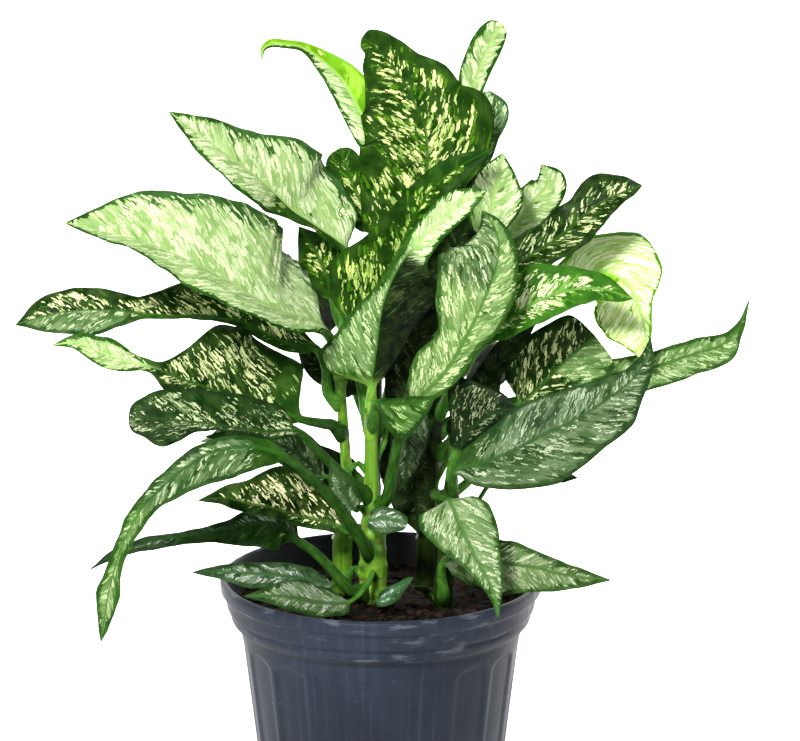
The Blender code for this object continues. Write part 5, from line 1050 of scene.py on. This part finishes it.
# ---------------------------------------------------------------- pot and soil

POT_STEPS = FLUTES * 14
CORNER_STEPS = 5  # steps in each rounded corner of the collar
CORNER_REACH = 0.3  # share of the way to the next corner at which the rounding starts
BODY_ROWS = [19.6, 19.3, *[19.1 - 0.17 * k for k in range(14)], 16.5, 15, 12, 8, 4, 2.2, 1.6, 1.0,
             0.5]


def pot_material():
    """Dark blue-black plastic with runs, dust specks and a scuffed collar."""
    n = Nodes("pot_plastic")
    x, y, z = n.split(n.position())
    turn = n.math("ARCTAN2", y, x)
    cloud = n.noise(n.position(), 9.0, 4.0, 0.6)
    runs = n.noise(n.vector(turn * 26.0, z * 7.0, 0.0), 1.0, 4.0)
    rings = n.noise(n.vector(turn * 12.0, z * 420.0, 4.0), 0.35, 4.0, 0.65)
    dust = n.noise(n.position(), 420.0, 2.0, 0.7)
    colour = n.mix(n.smooth(cloud, 0.3, 0.7), (0.009, 0.013, 0.022), (0.015, 0.021, 0.035))
    colour = n.mix(n.smooth(runs, 0.5, 0.75) * 0.35, colour, (0.045, 0.055, 0.08))
    speck = n.smooth(dust, 0.70, 0.76) * n.smooth(cloud, 0.42, 0.62)
    colour = n.mix(speck * 0.6, colour, (0.28, 0.31, 0.36))
    scuff = n.smooth(rings, 0.56, 0.68) * n.smooth(z, 0.196, 0.205)
    colour = n.mix(scuff * 0.30, colour, (0.17, 0.19, 0.23))
    inside, _, _ = n.split(n.attribute("pot_inner"))
    colour = n.mix(inside * 0.8, colour, (0.008, 0.009, 0.011))
    n.bump(cloud * 0.6 + rings * 0.25, 0.25, 0.0015)
    return n.finish(colour, scuff * 0.15 + n.smooth(runs, 0.3, 0.7, 0.40, 0.52), 0.14)


def fluted_radius(angle, height):
    """The body with wide flat-bottomed panels between narrow ribs, under round arches."""
    across = (angle * FLUTES / (2 * math.pi)) % 1.0
    arch = ARCH_TOP - ARCH_DROP * (1 - math.sqrt(max(1 - (2 * across - 1) ** 2, 0.0)))
    deep = ease((min(across, 1 - across) - 0.035) / 0.10) * ease((arch - height) / 0.35)
    foot = min(max((height - 0.4) / 1.5, 0.0), 1.0)
    return BODY_TOP[0] - BODY_SLOPE * (BODY_TOP[1] - height) - FLUTE_DEPTH * deep * foot


def rounded(profile):
    """A profile with each inner corner turned into a short curve."""
    out = [profile[0]]
    for before, here, after in zip(profile, profile[1:], profile[2:]):
        start = [h + (b - h) * CORNER_REACH for h, b in zip(here, before)]
        end = [h + (a - h) * CORNER_REACH for h, a in zip(here, after)]
        for k in range(CORNER_STEPS + 1):
            t = k / CORNER_STEPS
            out.append(tuple((1 - t) ** 2 * s + 2 * t * (1 - t) * h + t * t * e
                             for s, h, e in zip(start, here, end)))
    return out + [profile[-1]]


def build_pot():
    """Collar, fluted body, foot and the inside, as rings from the lip down and back up."""
    points, inner = [], []

    def ring(radius, height, inside=0.0):
        for angle in turns_of(POT_STEPS):
            reach = fluted_radius(angle, height) if radius is None else radius
            points.append((reach * math.cos(angle), reach * math.sin(angle), height))
            inner.append((inside, 0.0, 0.0))

    collar = rounded([LIP_INNER[1], LIP_INNER[0], *POT_OUTER])
    for radius, height in collar:
        ring(radius, height, 1.0 if radius < 12.95 and height > 23 else 0.0)
    for height in BODY_ROWS:
        ring(None, height)
    ring(FOOT_RADIUS + 0.05, 0.15)
    ring(FOOT_RADIUS - 0.1, 0.0)
    for radius, height in (BASE_INNER, COLLAR_INNER[1], COLLAR_INNER[0]):
        ring(radius, height, 1.0)
    rows = len(points) // POT_STEPS
    foot = len(collar) + len(BODY_ROWS) + 1
    faces = [tuple(range(foot * POT_STEPS, (foot + 1) * POT_STEPS)),
             tuple(range((foot + 1) * POT_STEPS, (foot + 2) * POT_STEPS))[::-1]]
    for row in range(rows):
        if row == foot:
            continue
        here, after = row * POT_STEPS, (row + 1) % rows * POT_STEPS
        for i in range(POT_STEPS):
            j = (i + 1) % POT_STEPS
            faces.append((here + i, here + j, after + j, after + i))
    obj = mesh_object("fine_pot", points, turned_out(points, faces), pot_material())
    set_vectors(obj.data, "pot_inner", inner)
    finish_piece(obj, "pot")


SOIL_SIDES = 120
SOIL_RINGS = 26
CHIPS = 620
CHIP_REACH = 12.1
CHIP_SIDES = 8


def soil_material():
    """Near-black soil with brown bark chips, their own dark colours deepened as painted shade from
    the bush above.
    """
    n = Nodes("soil_mix")
    grain = n.noise(n.position(), 260.0, 4.0, 0.7)
    chip, _, _ = n.split(n.attribute("chip_tone"))
    # Painted shade: soil and chip colours are set near black for the shadow the bush casts on them.
    dark = n.mix(n.smooth(grain, 0.3, 0.7), (0.002, 0.002, 0.0015), (0.008, 0.006, 0.004))
    bark = n.mix(chip, (0.004, 0.003, 0.002), (0.04, 0.018, 0.012))
    bark = n.mix(n.smooth(grain, 0.35, 0.7), bark, (0.02, 0.012, 0.009))
    colour = n.mix(n.smooth(chip, 0.02, 0.1), dark, bark)
    n.bump(grain, 0.8, 0.002)
    return n.finish(colour, n.smooth(grain, 0.3, 0.7, 0.75, 0.95), 0.08)


def chip_points(rng, centre, size):
    """Corners of one bark chip: a flat, uneven, eight-sided sliver."""
    turn = Euler((rng.uniform(-0.5, 0.5), rng.uniform(-0.5, 0.5), rng.uniform(0, 6.28))).to_matrix()
    long, wide, thick = size, size * rng.uniform(0.35, 0.7), size * rng.uniform(0.15, 0.3)
    points = []
    for layer in (-1, 1):
        for angle in turns_of(CHIP_SIDES):
            reach = rng.uniform(0.75, 1.1) * (1.0 if layer < 0 else 0.82)
            corner = Vector((long * reach * math.cos(angle), wide * reach * math.sin(angle),
                             thick * layer * rng.uniform(0.7, 1.1)))
            points.append(tuple(centre + turn @ corner))
    return points


def build_soil():
    """Uneven soil surface strewn with bark chips."""
    rng = random.Random(7)
    edge = COLLAR_INNER[0][0] - GAP
    points = [(0.0, 0.0, SOIL_EDGE + SOIL_MOUND)]
    for row in range(1, SOIL_RINGS + 1):
        radius = edge * row / SOIL_RINGS
        for angle in turns_of(SOIL_SIDES):
            x, y = radius * math.cos(angle), radius * math.sin(angle)
            height = soil_surface(radius, angle)
            height += 0.28 * noise.noise(Vector((x * 0.9, y * 0.9, 3.0)))
            height += 0.16 * noise.noise(Vector((x * 2.7, y * 2.7, 9.0)))
            points.append((x, y, height))
    tones = [(0.0, 0.0, 0.0)] * len(points)
    faces = disc_faces(SOIL_RINGS, SOIL_SIDES)
    for _ in range(CHIPS):
        radius = CHIP_REACH * math.sqrt(rng.random())
        angle = rng.uniform(0, 2 * math.pi)
        size = rng.uniform(0.16, 0.62)
        height = soil_surface(radius, angle) + rng.uniform(-0.02, 0.22)
        radius = min(radius, CHIP_REACH + 0.2 - size)
        centre = Vector((radius * math.cos(angle), radius * math.sin(angle), height))
        first = len(points)
        points += chip_points(rng, centre, size)
        tones += [(0.12 + 0.88 * rng.random() ** 2, 0.0, 0.0)] * (2 * CHIP_SIDES)
        faces += [tuple(first + i for i in face) for face in tube_faces(2, CHIP_SIDES)]
    obj = mesh_object("fine_soil", points, faces, soil_material(), smooth=False)
    set_vectors(obj.data, "chip_tone", tones)
    finish_piece(obj, "soil")


# ---------------------------------------------------------------- stage, light and camera

FLOOR_REACH = 360.0  # cm from the plant to where the round floor starts to sweep up
SWEEP = 140.0  # cm, the radius of that sweep
WALL_TOP = 500.0
FLOOR_DROP = 0.02  # cm below the foot of the pot
STAGE_SIDES = 96
SWEEP_STEPS = 14


def build_stage():
    """A round pale floor that sweeps up into a wall on every side."""
    angles = [math.pi / 2 * k / SWEEP_STEPS for k in range(SWEEP_STEPS + 1)]
    line = [(FLOOR_REACH + SWEEP * math.sin(a), SWEEP - SWEEP * math.cos(a)) for a in angles]
    line.append((FLOOR_REACH + SWEEP, WALL_TOP))
    points = [(0.0, 0.0, -FLOOR_DROP)]
    for radius, height in line:
        points += [(radius * math.cos(a), radius * math.sin(a), height - FLOOR_DROP)
                   for a in turns_of(STAGE_SIDES)]
    pale = Nodes("pale_floor").finish((0.88, 0.88, 0.88), 0.9, 0.1)
    floor = mesh_object("floor", points, disc_faces(len(line), STAGE_SIDES), pale)


def area_light(name, place, target, size, power, colour=(1, 1, 1), spread=180):
    light = bpy.data.lights.new(name, "AREA")
    light.spread = math.radians(spread)
    light.shape = "DISK"
    light.size = size
    light.energy = power
    light.color = colour
    obj = bpy.data.objects.new(name, light)
    obj.location = place
    obj.rotation_euler = (Vector(target) - Vector(place)).to_track_quat("-Z", "Y").to_euler()
    bpy.context.scene.collection.objects.link(obj)


def build_lights():
    """A warm key from the front left, weak fill, and lights that whiten floor and wall."""
    middle, wall = (0.0, 0.0, 0.42), (0.0, 4.2, 0.4)
    area_light("key", (-0.7, -1.95, 1.9), middle, 0.55, 112.0, (1.0, 0.99, 0.95))
    area_light("fill", (1.9, -1.8, 1.1), middle, 1.4, 2.0)
    area_light("top", (0.3, 0.9, 2.3), middle, 1.0, 12.0)
    area_light("back_left", (-1.8, 2.6, 2.0), wall, 1.2, 155.0)
    area_light("back_right", (1.8, 2.6, 2.0), wall, 1.2, 155.0)
    area_light("floor_right", (1.0, 1.5, 1.6), (0.9, 1.4, 0.0), 0.8, 60.0, spread=80)
    area_light("floor_left", (-1.0, 1.5, 1.6), (-0.9, 1.4, 0.0), 0.8, 30.0, spread=80)
    world = bpy.data.worlds.new("studio")
    world.use_nodes = True
    background = world.node_tree.nodes["Background"]
    background.inputs[0].default_value = (0.95, 0.98, 1.0, 1.0)
    background.inputs[1].default_value = 0.02
    bpy.context.scene.world = world


def build_camera():
    data = bpy.data.cameras.new("camera")
    data.lens = 106.65
    data.sensor_width = 36.0
    camera = bpy.data.objects.new("camera", data)
    camera.location = (0.0, -1.9156, 0.8147)
    camera.rotation_euler = (math.radians(78.2), 0.0, math.radians(-0.48))
    bpy.context.scene.collection.objects.link(camera)
    bpy.context.scene.camera = camera
    bpy.context.scene.view_settings.view_transform = "Standard"


def main():
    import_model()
    build_camera()
    build_lights()
    build_stage()
    build_pot()
    build_soil()
    for number, name in enumerate(CANES):
        build_cane(name, number)
    for number, row in enumerate(LEAVES, 1):
        build_leaf(row, number)
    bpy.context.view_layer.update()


main()
